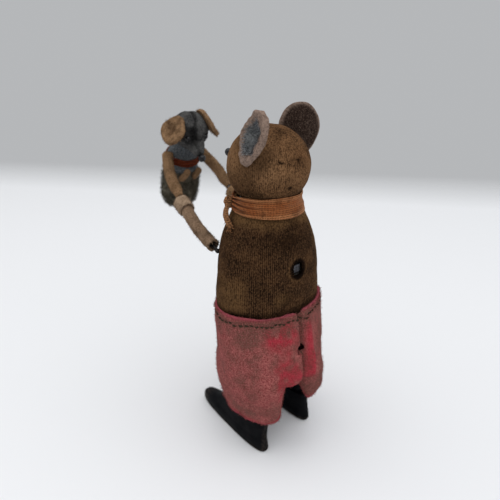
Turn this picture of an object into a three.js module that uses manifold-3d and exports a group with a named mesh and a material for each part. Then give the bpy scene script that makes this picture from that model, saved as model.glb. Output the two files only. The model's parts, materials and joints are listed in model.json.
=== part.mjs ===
// A clockwork dancing mouse that swings a young mouse up and down in its arms.
//
// The big mouse has a tin body in two halves under velvet, felt trousers over tin legs, and black
// feet. A spring movement between two plates turns an eccentric weight, whose shaking makes the toy
// dance, and a crank on the second arbor rocks the wire arms. Felt hands hold the young mouse.
//
// Millimetres, +Z up. The mouse faces -Y and its left side is +X. The model is drawn with its origin
// on the floor under the body's axis, and the exported group is then shifted so that the origin is
// under the middle of the whole toy.

import * as THREE from "three";
import { mergeVertices } from "three/addons/utils/BufferGeometryUtils.js";
import Module from "manifold-3d";

const wasm = await Module();
wasm.setup();

const v3 = (x, y, z) => new THREE.Vector3(x, y, z);

// ---------------------------------------------------------------- driving dimensions

const GAP = 0.3; // air between neighbouring pieces that touch on the real toy
const TIN = 0.8; // wall of a tin pressing
const VELVET = 0.8; // velvet glued to the tin
const FELT = 1.2; // trouser felt

const WAIST_Z = 50; // top edge of the trousers
const SHELL_Z = 29; // bottom edge of the tin body
const CROTCH_Z = 26; // top of the arch between the legs

// Sections are [height, half width along X, half depth along Y, middle along Y, middle along X].
const SKIN = [
  [46, 15.6, 11.8],
  [WAIST_Z + 0.3, 15.6, 11.8],
  [51.6, 16.9, 12.9],
  [56, 16.3, 13.0],
  [62, 15.4, 13.1],
  [68, 14.1, 12.7],
  [73, 12.3, 11.7],
  [77.8, 9.7, 9.7],
  [81.4, 8.9, 8.9],
];
const SEAT = [
  [CROTCH_Z, 16.9, 13.4, 1.8],
  [30, 17.7, 14.2, 1.8],
  [38, 17.7, 14.2, 1.2],
  [45, 17.6, 13.7, 0.5],
  [WAIST_Z, 17.5, 13.5, 0.2],
];
const TROUSER_LEG = [
  [12.5, 6.6, 12.4, 0, 7.4],
  [20, 8.0, 13.2, 1.0, 8.4],
  [CROTCH_Z, 8.6, 13.8, 1.6, 8.9],
  [32, 8.2, 12, 1.2, 8.9],
];
const TIN_LEG = { x: 8.8, y: 0.3, a: 2.8, b: 8.0, low: 11.9, high: 27.6 };
const RIGHT_STEP = { x: -0.8, y: -2.0 }; // the right leg stands forward of the left
// The hem of the right trouser leg as [x, z]: short outside, and cut away up to the arch inside.
const RIGHT_HEM = [[-20, 15], [-8.2, 15], [-7, 16], [-6, 17.9], [-4, 22.5], [-2, 25], [-0.4, 25.4]];
// Horizontal sections of a foot, from the sole up.
const FOOT = [
  [0, 3.0, 17.3, -7.1, 9.3],
  [1, 3.3, 17.5, -7.1, 9.3],
  [2.8, 3.3, 17.2, -7.0, 9.3],
  [4.2, 3.1, 16.2, -6.2, 9.3],
  [6, 2.9, 13.4, -3.4, 9.2],
  [8, 2.9, 11.7, -1.8, 9.0],
  [11.6, 2.9, 9.4, 0.3, 8.8],
];
const HEAD = { centre: v3(0, 0.3, 89.4), a: 11.4, b: 11.4, c: 11.0, cutZ: 81.7 };
const SNOUT = { tip: v3(0, -14.4, 84.4), rootR: 7.2, tipR: 1.9 };
const NECK_R = 6.4;
const EYE = { x: 6.2, y: -9.9, z: 92.5, r: 1.3 };
const NOSE = { drop: v3(0, -2.0, -0.9), r: 1.5 };
// Ears are upright oval cups: nod leans one back, tilt to one side, and turn swings it about the vertical.
const EAR_T = 1.1;
const RIGHT_EAR = { at: v3(-12.5, -1.3, 97.8), a: 6.4, b: EAR_T, c: 7.3, nod: -0.03, tilt: 0.16, turn: -0.24 };
const LEFT_EAR = { at: v3(8.5, 4.5, 98.3), a: 4.6, b: EAR_T, c: 7.1, nod: -0.32, tilt: 0.17, turn: 1.52 };
const DISH = 0.62; // how deep the hollow of an ear goes into its thickness
const RIBBON = { low: 78.2, high: 82.1, inner: 10.0, outer: 10.6 };
const KNOT = { at: v3(9.4, -7.2, 79.5), r: 1.5, tailR: 0.6 };
const TAIL_ENDS = [v3(10.4, -6.6, 73.6), v3(9.8, -8, 74)];

// The movement: arbors run along Y between two plates.
const PLATE = { t: 0.8, rearY: 6.8, frontY: -5.6, low: 29.3, high: 73 };
const PLATE_SHAPE = { half: 8.2, shoulderZ: 61, topHalf: 6.2, taper: 4 };
const PILLARS = { low: [7.2, 33], high: [4.5, 71.7], r: 0.8 };
const ARBOR_R = 0.7;
const GREAT = { teeth: 36, module: 0.45, y: 5.4, t: 1.0, bore: 1.8 };
const SECOND = { teeth: 32, module: 0.4, leaves: 8, y: -4.4, t: 0.8, dx: 2.0 };
const THIRD = { teeth: 30, module: 0.4, leaves: 8, y: 2.0, t: 0.8, dx: -4.0 };
const FLY = { leaves: 8, r: 6.0, y: -2.9, t: 3.8, dx: 2.5 };
const WINDING = { x: 0, z: 63, r: 1.45, square: 2.2, end: 12.3 };
const RATCHET = { teeth: 12, r: 3.6, root: 2.9, y: 4.0, t: 1.0 };
const CLICK = { pivotR: 6.2, pivotDeg: 20, tipDeg: 52, studR: 0.5, heelR: 5.4, shoulderR: 6.9, nose: 1.2 };
const BLADE = { inner: 6.3, outer: 6.65, fromDeg: 54, toDeg: 102, stepDeg: 6, bend: 0.01, t: 1.0, footR: 0.6 };
const SPRING = { inner: 1.85, outer: 7.4, strip: 0.45, turns: 4, y: -3.2, width: 6.6 };

// The arms: a cranked shaft along X rocks in ears of the front plate.
const SHAFT = { y: -7.9, z: 64.8, r: 0.6, half: 8.5, throwR: 1.3, throwHalf: 1.5 };
const EAR_TAB = { x: 5.4, t: 0.8, front: -9.2, low: 63.4, high: 66.2 };
const CRANK = { r: 0.5, pinR: 0.5, discR: 2.0, y: -6.7, t: 0.8, pinEnd: -9.9 };
const WIRE_R = 0.45;
const SHOULDER_X = 12.3;
const HAND = v3(10.2, -30.6, 73.2);
const SLEEVE_R = 1.95;
const CUFF = { outer: 2.6, inner: 1.95, back: 3.2, front: 1.2, wall: 0.5 };
const HAND_PIN = { side: 1.15, back: 2.2, eye: 1.15, eyeWire: 0.35 };

// The young mouse hangs from wires through its shoulders, and faces the big one.
const YOUNG_SHOULDER = v3(6.7, -44, 85.3);
const YOUNG_BODY = [
  [66, 2.0, 2.0, -51.6],
  [67.4, 4.4, 4.0, -51.4],
  [71, 6.2, 5.6, -50.8],
  [75, 6.5, 5.9, -49.8],
  [80, 5.9, 5.3, -48.2],
  [84.2, 5.2, 5.0, -47.2],
  [90.4, 3.6, 3.6, -43.8],
];
const YOUNG_HEAD = { centre: v3(0, -40.6, 94.2), r: 6.4, nose: v3(0, -34.9, 87.3), rootR: 4.9, tipR: 1.3 };
const YOUNG_EYE = { x: 3.8, y: -35.5, z: 92.2, r: 0.9 };
const YOUNG_NOSE = { drop: v3(0, 1.1, -1.2), r: 1.1 };
const YOUNG_EAR = { a: 4.6, b: 0.8, c: 5 };
const YOUNG_EARS = {
  young_right_ear: { at: v3(7.5, -38.3, 95.5), nod: 0.69, tilt: 0.5, turn: -0.88 },
  young_left_ear: { at: v3(-6.7, -38.6, 96.8), nod: 0.605, tilt: 0, turn: 1.22 },
};
const YOUNG_LEG = { hip: v3(2.4, -45, 77.5), toe: v3(2.2, -39.4, 81.4), hipR: 1.3, toeR: 1.0 };
const YOUNG_SLEEVE_R = 1.7;

// ---------------------------------------------------------------- solids

// A closed three.js geometry as a manifold-3d solid, and back again.
function solid(geometry) {
  const g = geometry.clone();
  for (const name of Object.keys(g.attributes)) {
    if (name !== "position") g.deleteAttribute(name);
  }
  const merged = mergeVertices(g, 1e-4);
  return new wasm.Manifold(
    new wasm.Mesh({
      numProp: 3,
      vertProperties: merged.attributes.position.array,
      triVerts: new Uint32Array(merged.index.array),
    }),
  );
}

function geometryOf(shape) {
  const { numProp, numVert, vertProperties, triVerts } = shape.getMesh();
  const position = new Float32Array(numVert * 3);
  for (let i = 0; i < numVert; i++) {
    position.set(vertProperties.subarray(i * numProp, i * numProp + 3), i * 3);
  }
  return new THREE.BufferGeometry()
    .setAttribute("position", new THREE.BufferAttribute(position, 3))
    .setIndex(new THREE.BufferAttribute(triVerts, 1));
}

const join = (...shapes) => shapes.reduce((a, b) => a.add(b));
const cut = (shape, ...tools) => tools.reduce((a, b) => a.subtract(b), shape);

function box(x0, x1, y0, y1, z0, z1) {
  const g = new THREE.BoxGeometry(x1 - x0, y1 - y0, z1 - z0);
  return solid(g.translate((x0 + x1) / 2, (y0 + y1) / 2, (z0 + z1) / 2));
}

// A cylinder, or a cone where the two radii differ, from one point to another.
function rod(from, to, r, sides = 10, endR = r) {
  const along = to.clone().sub(from);
  const g = new THREE.CylinderGeometry(endR, r, along.length(), sides);
  g.applyQuaternion(new THREE.Quaternion().setFromUnitVectors(v3(0, 1, 0), along.clone().normalize()));
  return solid(g.translate(...from.clone().lerp(to, 0.5)));
}

const pinX = (y, z, r, x0, x1, sides = 10) => rod(v3(x0, y, z), v3(x1, y, z), r, sides);
const pinY = (x, z, r, y0, y1, sides = 10) => rod(v3(x, y0, z), v3(x, y1, z), r, sides);

function ball(centre, r, across = 10, down = 7) {
  return solid(new THREE.SphereGeometry(r, across, down).translate(...centre));
}

function ellipsoid(centre, a, b, c, across = 18, down = 10) {
  const g = new THREE.SphereGeometry(1, across, down).rotateX(Math.PI / 2).scale(a, b, c);
  return solid(g.translate(...centre));
}

// A bent wire: straight runs with a ball at each bend.
function wire(points, r) {
  const runs = points.slice(1).map((p, i) => rod(points[i], p, r, 6));
  const bends = points.slice(1, -1).map((p) => ball(p, r, 6, 4));
  return join(...runs, ...bends);
}

// A ring of round wire whose axis is X.
function eyeX(centre, r, wireR) {
  const g = new THREE.TorusGeometry(r, wireR, 6, 12).rotateY(Math.PI / 2);
  return solid(g.translate(...centre));
}

// A closed solid through oval sections. A power above 2 squares the ovals up.
function loft(sections, sides = 20, power = 2) {
  const soften = (c) => Math.sign(c) * Math.abs(c) ** (2 / power);
  const points = [];
  const faces = [];
  for (const [z, a, b, y = 0, x = 0] of sections) {
    for (let i = 0; i < sides; i++) {
      const t = (2 * Math.PI * i) / sides;
      points.push(x + a * soften(Math.cos(t)), y + b * soften(Math.sin(t)), z);
    }
  }
  const last = sections.length - 1;
  for (let k = 0; k < last; k++) {
    for (let i = 0; i < sides; i++) {
      const p = k * sides + i;
      const q = k * sides + ((i + 1) % sides);
      faces.push(p, q, q + sides, p, q + sides, p + sides);
    }
  }
  for (const k of [0, last]) {
    const [z, , , y = 0, x = 0] = sections[k];
    const middle = points.length / 3;
    points.push(x, y, z);
    for (let i = 0; i < sides; i++) {
      const p = k * sides + i;
      const q = k * sides + ((i + 1) % sides);
      faces.push(...(k === 0 ? [middle, q, p] : [middle, p, q]));
    }
  }
  const g = new THREE.BufferGeometry();
  g.setAttribute("position", new THREE.Float32BufferAttribute(points, 3)).setIndex(faces);
  return solid(g);
}

// The same sections, moved in all round by some distance.
const inset = (sections, by) => sections.map(([z, a, b, ...rest]) => [z, a - by, b - by, ...rest]);

// The same sections carried on past both ends, to cut a shell open.
function openEnds(sections, pastLow = 1, pastHigh = 1) {
  const [[low, ...first]] = sections;
  const [high, ...final] = sections.at(-1);
  return [[low - pastLow, ...first], ...sections.slice(1), [high + pastHigh, ...final]];
}

const mirror = (sections, side) => sections.map(([z, a, b, y, x]) => [z, a, b, y, side * x]);

// A flat outline of [x, z] points made solid from y to y + t.
function slab(outline, y, t, holes = []) {
  const toPath = (points) => points.map(([x, z]) => new THREE.Vector2(x, z));
  const shape = new THREE.Shape(toPath(outline));
  shape.holes = holes.map((hole) => new THREE.Path(toPath(hole)));
  const g = new THREE.ExtrudeGeometry(shape, { depth: t, bevelEnabled: false });
  return solid(g.rotateX(Math.PI / 2).translate(0, y + t, 0));
}

function circle(x, z, r, sides = 12) {
  return Array.from({ length: sides }, (_, i) => {
    const t = (2 * Math.PI * i) / sides;
    return [x + r * Math.cos(t), z + r * Math.sin(t)];
  });
}

const radians = (degrees) => (degrees * Math.PI) / 180;
const polar = (at, r, deg) => [at.x + r * Math.cos(radians(deg)), at.z + r * Math.sin(radians(deg))];

// ---------------------------------------------------------------- gears

const pitchR = (teeth, module) => (teeth * module) / 2;

// Outline of a small stamped gear: flat-topped teeth, thinned so that they never bind.
function gearOutline(at, teeth, module, phase) {
  const r = pitchR(teeth, module);
  const tip = r + 0.7 * module;
  const root = r - 1.1 * module;
  const corners = [[root, -0.24], [tip, -0.09], [tip, 0.09], [root, 0.24]];
  return Array.from({ length: teeth }, (_, i) =>
    corners.map(([radius, share]) => {
      const t = phase + ((i + share) * 2 * Math.PI) / teeth;
      return [at.x + radius * Math.cos(t), at.z + radius * Math.sin(t)];
    }),
  ).flat();
}

// Where an arbor sits so that its pinion meshes with the wheel above it, dx to the side.
const below = (at, distance, dx) => ({ x: at.x + dx, z: at.z - Math.sqrt(distance ** 2 - dx ** 2) });

const great = { x: WINDING.x, z: WINDING.z };
const second = below(great, pitchR(GREAT.teeth + SECOND.leaves, GREAT.module), SECOND.dx);
const third = below(second, pitchR(SECOND.teeth + THIRD.leaves, SECOND.module), THIRD.dx);
const fly = below(third, pitchR(THIRD.teeth + FLY.leaves, THIRD.module), FLY.dx);

// A wheel has a tooth on the line to the next arbor, whose pinion has a gap there.
const towards = (from, to) => Math.atan2(to.z - from.z, to.x - from.x);

function wheel(at, next, spec, bore) {
  const outline = gearOutline(at, spec.teeth, spec.module, towards(at, next));
  return slab(outline, spec.y, spec.t, [circle(at.x, at.z, bore)]);
}

function pinion(at, before, leaves, module, y0, y1) {
  return slab(gearOutline(at, leaves, module, towards(at, before) + Math.PI / leaves), y0, y1 - y0);
}

// ---------------------------------------------------------------- finishes

const finish = (color, roughness, metalness = 0) =>
  new THREE.MeshStandardMaterial({ color, roughness, metalness });
const MATERIAL = {
  velvet: finish(0x4a3726, 0.95),
  headVelvet: finish(0x7a6040, 0.95),
  earFelt: finish(0x6a5040, 0.95),
  sleeveFelt: finish(0x8c7254, 0.95),
  trouserFelt: finish(0xa04650, 0.95),
  ribbon: finish(0xa87850, 0.8),
  blackPaint: finish(0x1b1c1e, 0.45, 0.3),
  tin: finish(0xb9b7ae, 0.4, 0.9),
  brass: finish(0xb08d4a, 0.35, 0.95),
  steel: finish(0x8d8f92, 0.35, 0.95),
  bead: finish(0x0c0c0e, 0.15),
  greyFelt: finish(0x3c3d40, 0.95),
  youngFelt: finish(0x9a7a5a, 0.95),
  rustRibbon: finish(0x9a3a20, 0.85),
  youngPile: finish(0x55503f, 0.98),
};

const group = new THREE.Group();

function piece(name, shape, material) {
  const mesh = new THREE.Mesh(geometryOf(shape), MATERIAL[material]);
  mesh.name = name;
  group.add(mesh);
}

const SIDES = [["left", 1], ["right", -1]];

// ---------------------------------------------------------------- body, legs and clothes

const KEYHOLE_R = 1.9;
const SHAFT_HOLE_R = 1.2;
const TAIL_HOLE = { z: 37.6, r: 1.3 };
const FAR = 40; // past every surface

const keyhole = pinY(WINDING.x, WINDING.z, KEYHOLE_R, 5, FAR, 14);
const shaftHole = pinX(SHAFT.y, SHAFT.z, SHAFT_HOLE_R, -FAR, FAR, 12);
const tailHole = pinY(0, TAIL_HOLE.z, TAIL_HOLE.r, 5, FAR, 10);

function torso() {
  const skin = cut(loft(SKIN), loft(openEnds(inset(SKIN, VELVET))), keyhole, shaftHole);
  piece("body_velvet", skin, "velvet");

  const outer = inset(
    [[SHELL_Z, 14.3, 10.6, 0.6], [38, 14.6, 10.8, 0.4], ...inset(SKIN.slice(1), VELVET)],
    GAP,
  );
  outer.at(-1)[0] -= GAP;
  const shell = cut(loft(outer), loft(openEnds(inset(outer, TIN))), keyhole, shaftHole, tailHole);
  piece("rear_body_shell", shell.intersect(box(-FAR, FAR, GAP / 2, FAR, 0, 99)), "tin");
  piece("front_body_shell", shell.intersect(box(-FAR, FAR, -FAR, -GAP / 2, 0, 99)), "tin");
}

function trousers() {
  const outerLegs = SIDES.map(([, side]) => loft(mirror(TROUSER_LEG, side), 20));
  const hollowSeat = openEnds(inset(SEAT, FELT), -FELT);
  const hollowLegs = SIDES.map(([, side]) =>
    loft(openEnds(inset(mirror(TROUSER_LEG, side), FELT).slice(0, 3), 1, 2 * FELT), 20));
  const [[outside], [inside]] = [RIGHT_HEM[0], RIGHT_HEM.at(-1)];
  const shortLeg = slab([...RIGHT_HEM, [inside, 0], [outside, 0]], -FAR, 2 * FAR);
  const felt = cut(join(loft(SEAT), ...outerLegs), loft(hollowSeat), ...hollowLegs, tailHole, shortLeg);
  piece("trousers", felt, "trouserFelt");
}

function legsAndFeet() {
  const { x, y, a, b, low, high } = TIN_LEG;
  for (const [name, side] of SIDES) {
    const step = side > 0 ? { x: 0, y: 0 } : RIGHT_STEP;
    const stand = (sections) =>
      mirror(sections, side).map(([height, halfX, halfY, midY, midX]) =>
        [height, halfX, halfY, midY + step.y, midX + step.x]);
    const tube = stand([[low, a, b, y, x], [high, a, b, y, x]]);
    piece(`${name}_leg`, cut(loft(tube, 16), loft(openEnds(inset(tube, TIN)), 16)), "blackPaint");
    piece(`${name}_foot`, loft(stand(FOOT), 20, 2.6), "blackPaint");
  }
}

// ---------------------------------------------------------------- head

// The head's outer surface, moved in by some distance.
function headSolid(by) {
  const { centre, a, b, c } = HEAD;
  const skull = ellipsoid(centre, a - by, b - by, c - by);
  return skull.add(rod(centre, SNOUT.tip, SNOUT.rootR - by, 16, SNOUT.tipR - by * 0.5));
}

function ear({ at, a, b, c, nod, tilt, turn }) {
  const hollow = ellipsoid(v3(0, -b, 0), a * 0.8, b * DISH * 2, c * 0.8, 12, 7);
  const cup = cut(ellipsoid(v3(0, 0, 0), a, b, c, 14, 8), hollow);
  const turned = new THREE.Matrix4().makeRotationFromEuler(new THREE.Euler(nod, tilt, turn, "ZYX"));
  return solid(geometryOf(cup).applyMatrix4(turned.setPosition(at)));
}

function head() {
  const underHead = box(-FAR, FAR, -FAR, FAR, 0, HEAD.cutZ);
  const beads = SIDES.map(([, side]) => ball(v3(side * EYE.x, EYE.y, EYE.z), EYE.r + GAP));
  piece("head_velvet", cut(headSolid(0), headSolid(VELVET), underHead, ...beads), "headVelvet");

  const skin = VELVET + GAP;
  const neck = pinZ(NECK_R, 77.5, 84);
  const hollow = join(headSolid(skin + TIN), pinZ(NECK_R - TIN, 77, 84));
  const skull = cut(headSolid(skin), box(-FAR, FAR, -FAR, FAR, 0, HEAD.cutZ + GAP));
  piece("head_shell", cut(join(skull, neck), hollow, ...beads), "tin");

  const clear = headSolid(-GAP);
  piece("right_ear", cut(ear(RIGHT_EAR), clear), "earFelt");
  piece("left_ear", cut(ear(LEFT_EAR), clear), "earFelt");
  for (const [name, side] of SIDES) {
    piece(`${name}_eye`, ball(v3(side * EYE.x, EYE.y, EYE.z), EYE.r, 8, 6), "bead");
  }
  piece("nose", ball(SNOUT.tip.clone().add(NOSE.drop), NOSE.r, 8, 6), "bead");
}

const pinZ = (r, z0, z1, sides = 20) => rod(v3(0, 0, z0), v3(0, 0, z1), r, sides);

function ribbon() {
  const { low, high, inner, outer } = RIBBON;
  const band = cut(pinZ(outer, low, high, 24), pinZ(inner, low - 1, high + 1, 24));
  piece("neck_ribbon", band, "ribbon");
  const tails = TAIL_ENDS.map((end) => rod(KNOT.at, end, KNOT.tailR, 8));
  const knot = cut(join(ball(KNOT.at, KNOT.r, 8, 6), ...tails), pinZ(outer + GAP / 2, low - 1, high + 1, 24));
  piece("ribbon_knot", knot, "ribbon");
}

// ---------------------------------------------------------------- movement

function plates() {
  const { t, low, high } = PLATE;
  const { half, shoulderZ, topHalf, taper } = PLATE_SHAPE;
  const outline = [
    [-half, low], [half, low], [half, shoulderZ], [topHalf, shoulderZ + taper],
    [topHalf, high], [-topHalf, high], [-topHalf, shoulderZ + taper], [-half, shoulderZ],
  ];
  const holes = [second, third, fly].map((at) => circle(at.x, at.z, ARBOR_R + GAP));
  holes.push(circle(WINDING.x, WINDING.z, WINDING.r + GAP));
  piece("rear_plate", slab(outline, PLATE.rearY, t, holes), "brass");

  const ears = SIDES.map(([, side]) => {
    const x = [side * EAR_TAB.x, side * (EAR_TAB.x + EAR_TAB.t)].sort((a, b) => a - b);
    return box(...x, EAR_TAB.front, PLATE.frontY + t / 2, EAR_TAB.low, EAR_TAB.high);
  });
  const bearing = pinX(SHAFT.y, SHAFT.z, SHAFT.r + GAP, -FAR, FAR);
  piece("front_plate", cut(join(slab(outline, PLATE.frontY, t, holes), ...ears), bearing), "brass");

  const from = PLATE.frontY + t + GAP;
  const to = PLATE.rearY - GAP;
  for (const [level, at] of [["lower", PILLARS.low], ["upper", PILLARS.high]]) {
    for (const [name, side] of SIDES) {
      piece(`${level}_${name}_pillar`, pinY(side * at[0], at[1], PILLARS.r, from, to), "brass");
    }
  }
  piece("base_plate", loft([[27.9, 13.6, 10.2, 0.6], [28.7, 13.6, 10.2, 0.6]]), "tin");
}

// The mainspring's coils, from the arbor out.
function mainspring() {
  const { inner, outer, strip, turns, y, width } = SPRING;
  const steps = turns * 12;
  const edge = (extra) =>
    Array.from({ length: steps + 1 }, (_, i) =>
      polar(WINDING, inner + ((outer - inner - strip) * i) / steps + extra, (360 * turns * i) / steps));
  piece("mainspring", slab([...edge(strip), ...edge(0).reverse()], y, width), "steel");
}

function windingArbor() {
  const { x, z, r, square, end } = WINDING;
  const half = square / 2;
  const squareEnd = box(x - half, x + half, PLATE.rearY + PLATE.t + GAP, end, z - half, z + half);
  const round = pinY(x, z, r, PLATE.frontY - GAP, end, 14);
  const core = pinY(x, z, r, PLATE.frontY - GAP, PLATE.rearY + PLATE.t + GAP * 2, 14);
  piece("winding_arbor", join(core, squareEnd.intersect(round)), "steel");

  const { teeth, r: tip, root, y, t } = RATCHET;
  const outline = Array.from({ length: teeth }, (_, i) => {
    const deg = CLICK.tipDeg + (360 * i) / teeth;
    return [polar(WINDING, tip, deg), polar(WINDING, root, deg + 4)];
  }).flat();
  piece("ratchet_wheel", slab(outline, y, t, [circle(x, z, r + GAP)]), "steel");
}

function greatWheel() {
  const [studX, studZ] = polar(WINDING, CLICK.pivotR, CLICK.pivotDeg);
  const stud = pinY(studX, studZ, CLICK.studR, RATCHET.y, GREAT.y + GREAT.t / 2, 8);
  piece("great_wheel", join(wheel(great, second, GREAT, GREAT.bore), stud), "brass");

  const tip = polar(WINDING, RATCHET.r + GAP, CLICK.tipDeg);
  const back = polar(WINDING, RATCHET.r + CLICK.nose, CLICK.tipDeg + 4);
  const heel = polar(WINDING, CLICK.heelR, CLICK.pivotDeg);
  const shoulder = polar(WINDING, CLICK.shoulderR, CLICK.pivotDeg + 6);
  const thickness = GREAT.y - GAP - RATCHET.y;
  const arm = slab([tip, back, shoulder, heel], RATCHET.y, thickness);
  const boss = pinY(studX, studZ, CLICK.studR + 0.8, RATCHET.y, RATCHET.y + thickness, 10);
  const bore = pinY(studX, studZ, CLICK.studR + GAP, -FAR, FAR, 8);
  piece("click", cut(join(arm, boss), bore), "steel");

  clickSpring();
}

// A blade bent around the click, with its foot on the wheel.
function clickSpring() {
  const { inner, outer, fromDeg, toDeg, stepDeg, bend, t, footR } = BLADE;
  const degrees = Array.from({ length: (toDeg - fromDeg) / stepDeg + 1 }, (_, i) => fromDeg + i * stepDeg);
  const edge = (r) => degrees.map((deg) => polar(WINDING, r - (deg - fromDeg) * bend, deg));
  const blade = slab([...edge(inner), ...edge(outer).reverse()], RATCHET.y, t);
  const foot = slab(circle(...polar(WINDING, inner - bend * 30, toDeg), footR, 8), RATCHET.y, t);
  piece("click_spring", join(blade, foot), "steel");
}

function train() {
  const behind = PLATE.rearY + PLATE.t + GAP;
  const ahead = PLATE.frontY - GAP;
  piece("second_wheel", wheel(second, third, SECOND, ARBOR_R + GAP), "brass");
  const secondPinion = pinion(second, great, SECOND.leaves, GREAT.module, GREAT.y - 0.2, PLATE.rearY - GAP);
  piece("second_arbor", join(secondPinion, pinY(second.x, second.z, ARBOR_R, ahead, behind)), "steel");
  piece("third_wheel", wheel(third, fly, THIRD, ARBOR_R + GAP), "brass");
  const thirdPinion = pinion(third, second, THIRD.leaves, SECOND.module, SECOND.y - 0.1, SECOND.y + 1.2);
  piece("third_arbor", join(thirdPinion, pinY(third.x, third.z, ARBOR_R, ahead, behind)), "steel");
  const flyPinion = pinion(fly, third, FLY.leaves, THIRD.module, THIRD.y - 0.2, THIRD.y + 1.2);
  piece("fly_arbor", join(flyPinion, pinY(fly.x, fly.z, ARBOR_R, ahead, behind)), "steel");

  const rim = Array.from({ length: 13 }, (_, i) => polar(fly, FLY.r, 180 + 15 * i));
  const hub = Array.from({ length: 7 }, (_, i) => polar(fly, 1.9, 30 * i));
  piece("fly_weight", slab([...rim, ...hub], FLY.y, FLY.t, [circle(fly.x, fly.z, ARBOR_R + GAP)]), "steel");

  const pinAt = [second.x + CRANK.r, second.z];
  const disc = pinY(second.x, second.z, CRANK.discR, CRANK.y, CRANK.y + CRANK.t - GAP, 16);
  piece("crank_disc", join(disc, pinY(...pinAt, CRANK.pinR, CRANK.pinEnd, CRANK.y + 0.2, 8)), "steel");
}

// ---------------------------------------------------------------- arms

const THROW_Y = SHAFT.y - SHAFT.throwR;

function armShaft() {
  const { y, z, r, half, throwHalf } = SHAFT;
  const path = [
    v3(-half, y, z), v3(second.x - throwHalf, y, z), v3(second.x - throwHalf, THROW_Y, z),
    v3(second.x + throwHalf, THROW_Y, z), v3(second.x + throwHalf, y, z), v3(half, y, z),
  ];
  piece("arm_shaft", wire(path, r), "steel");

  const windowHalf = { x: CRANK.r + CRANK.pinR + 0.4, z: 2 * CRANK.r + CRANK.pinR + 0.4 };
  const rect = (x, z) => [
    [second.x - x, second.z - z], [second.x + x, second.z - z],
    [second.x + x, second.z + z], [second.x - x, second.z + z],
  ];
  const rim = 0.7;
  const frame = slab(rect(windowHalf.x + rim, windowHalf.z + rim), THROW_Y - 0.3, 0.6,
    [rect(windowHalf.x, windowHalf.z)]);
  const eyeR = r + GAP + 0.35;
  const stem = rod(v3(second.x, THROW_Y, second.z + windowHalf.z + 0.3), v3(second.x, THROW_Y, z - eyeR), 0.35, 8);
  piece("arm_link", join(frame, stem, eyeX(v3(second.x, THROW_Y, z), eyeR, 0.35)), "steel");
}

function arms() {
  for (const [name, side] of SIDES) {
    const at = (x, y, z) => v3(side * x, y, z);
    const hand = at(...HAND);
    const bend = at(SHOULDER_X, SHAFT.y, SHAFT.z);
    const reach = hand.clone().sub(bend);
    const along = reach.clone().normalize();
    const step = at(HAND_PIN.side, 0, 0);
    const wrist = hand.clone().addScaledVector(along, -HAND_PIN.back);
    const path = [
      at(SHAFT.half + GAP, SHAFT.y, SHAFT.z), bend, wrist,
      wrist.clone().add(step), hand.clone().add(step), hand.clone().sub(step),
    ];
    piece(`${name}_arm_wire`, wire(path, WIRE_R), "steel");

    const from = bend.clone().addScaledVector(along, 2.2);
    const to = hand.clone().addScaledVector(along, -CUFF.back - GAP);
    const bore = rod(bend, hand, WIRE_R + GAP);
    piece(`${name}_sleeve`, cut(rod(from, to, SLEEVE_R, 10), bore), "sleeveFelt");

    const cuffBack = hand.clone().addScaledVector(along, -CUFF.back);
    const cuffFront = hand.clone().addScaledVector(along, CUFF.front);
    const floor = cuffBack.clone().addScaledVector(along, CUFF.wall);
    const mouth = cuffFront.clone().addScaledVector(along, 1);
    const inside = rod(floor, mouth, CUFF.inner, 12);
    const entry = rod(cuffBack.clone().addScaledVector(along, -1), hand, WIRE_R + GAP);
    piece(`${name}_cuff`, cut(rod(cuffBack, cuffFront, CUFF.outer, 12), inside, entry), "youngFelt");
  }
}

// ---------------------------------------------------------------- the young mouse

// The young head's outer surface, moved out by some distance.
function youngHead(by) {
  const { centre, r, nose, rootR, tipR } = YOUNG_HEAD;
  return join(ball(centre, r + by, 16, 10), rod(centre, nose, rootR + by, 12, tipR + by));
}

function youngMouse() {
  const wireBore = pinX(YOUNG_SHOULDER.y, YOUNG_SHOULDER.z, WIRE_R + GAP, -FAR, FAR, 8);
  const body = cut(loft(YOUNG_BODY, 20), youngHead(GAP), wireBore);
  piece("young_body", body, "youngPile");

  const { x, y, z, r } = YOUNG_EYE;
  const eyes = SIDES.map(([, side]) => v3(side * x, y, z));
  const sockets = eyes.map((eye) => ball(eye, r + GAP, 8, 6));
  piece("young_head", cut(youngHead(0), ...sockets), "greyFelt");
  eyes.forEach((eye, i) => piece(`young_${SIDES[1 - i][0]}_eye`, ball(eye, r, 8, 6), "bead"));
  const nose = YOUNG_HEAD.nose.clone().add(YOUNG_NOSE.drop);
  piece("young_nose", ball(nose, YOUNG_NOSE.r, 8, 6), "bead");
  for (const [name, pose] of Object.entries(YOUNG_EARS)) {
    piece(name, cut(ear({ ...YOUNG_EAR, ...pose }), youngHead(GAP)), "youngFelt");
  }
  youngRibbon();
  youngArms();
  youngLegs();
}

function youngLegs() {
  const { hip, toe, hipR, toeR } = YOUNG_LEG;
  const body = loft(inset(YOUNG_BODY, -GAP), 20);
  for (const [name, side] of [["right", 1], ["left", -1]]) {
    const at = (p) => v3(side * p.x, p.y, p.z);
    piece(`young_${name}_leg`, cut(rod(at(hip), at(toe), hipR, 10, toeR), body), "youngFelt");
  }
}

function youngRibbon() {
  const band = (by) => loft([[82.3, 5.3 + by, 4.9 + by, -47.2], [83.9, 5.0 + by, 4.7 + by, -46.7]], 20);
  piece("young_ribbon", cut(band(0.8), band(GAP)
    .add(loft(inset(YOUNG_BODY, -GAP), 20)), youngHead(GAP)), "rustRibbon");
}

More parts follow.
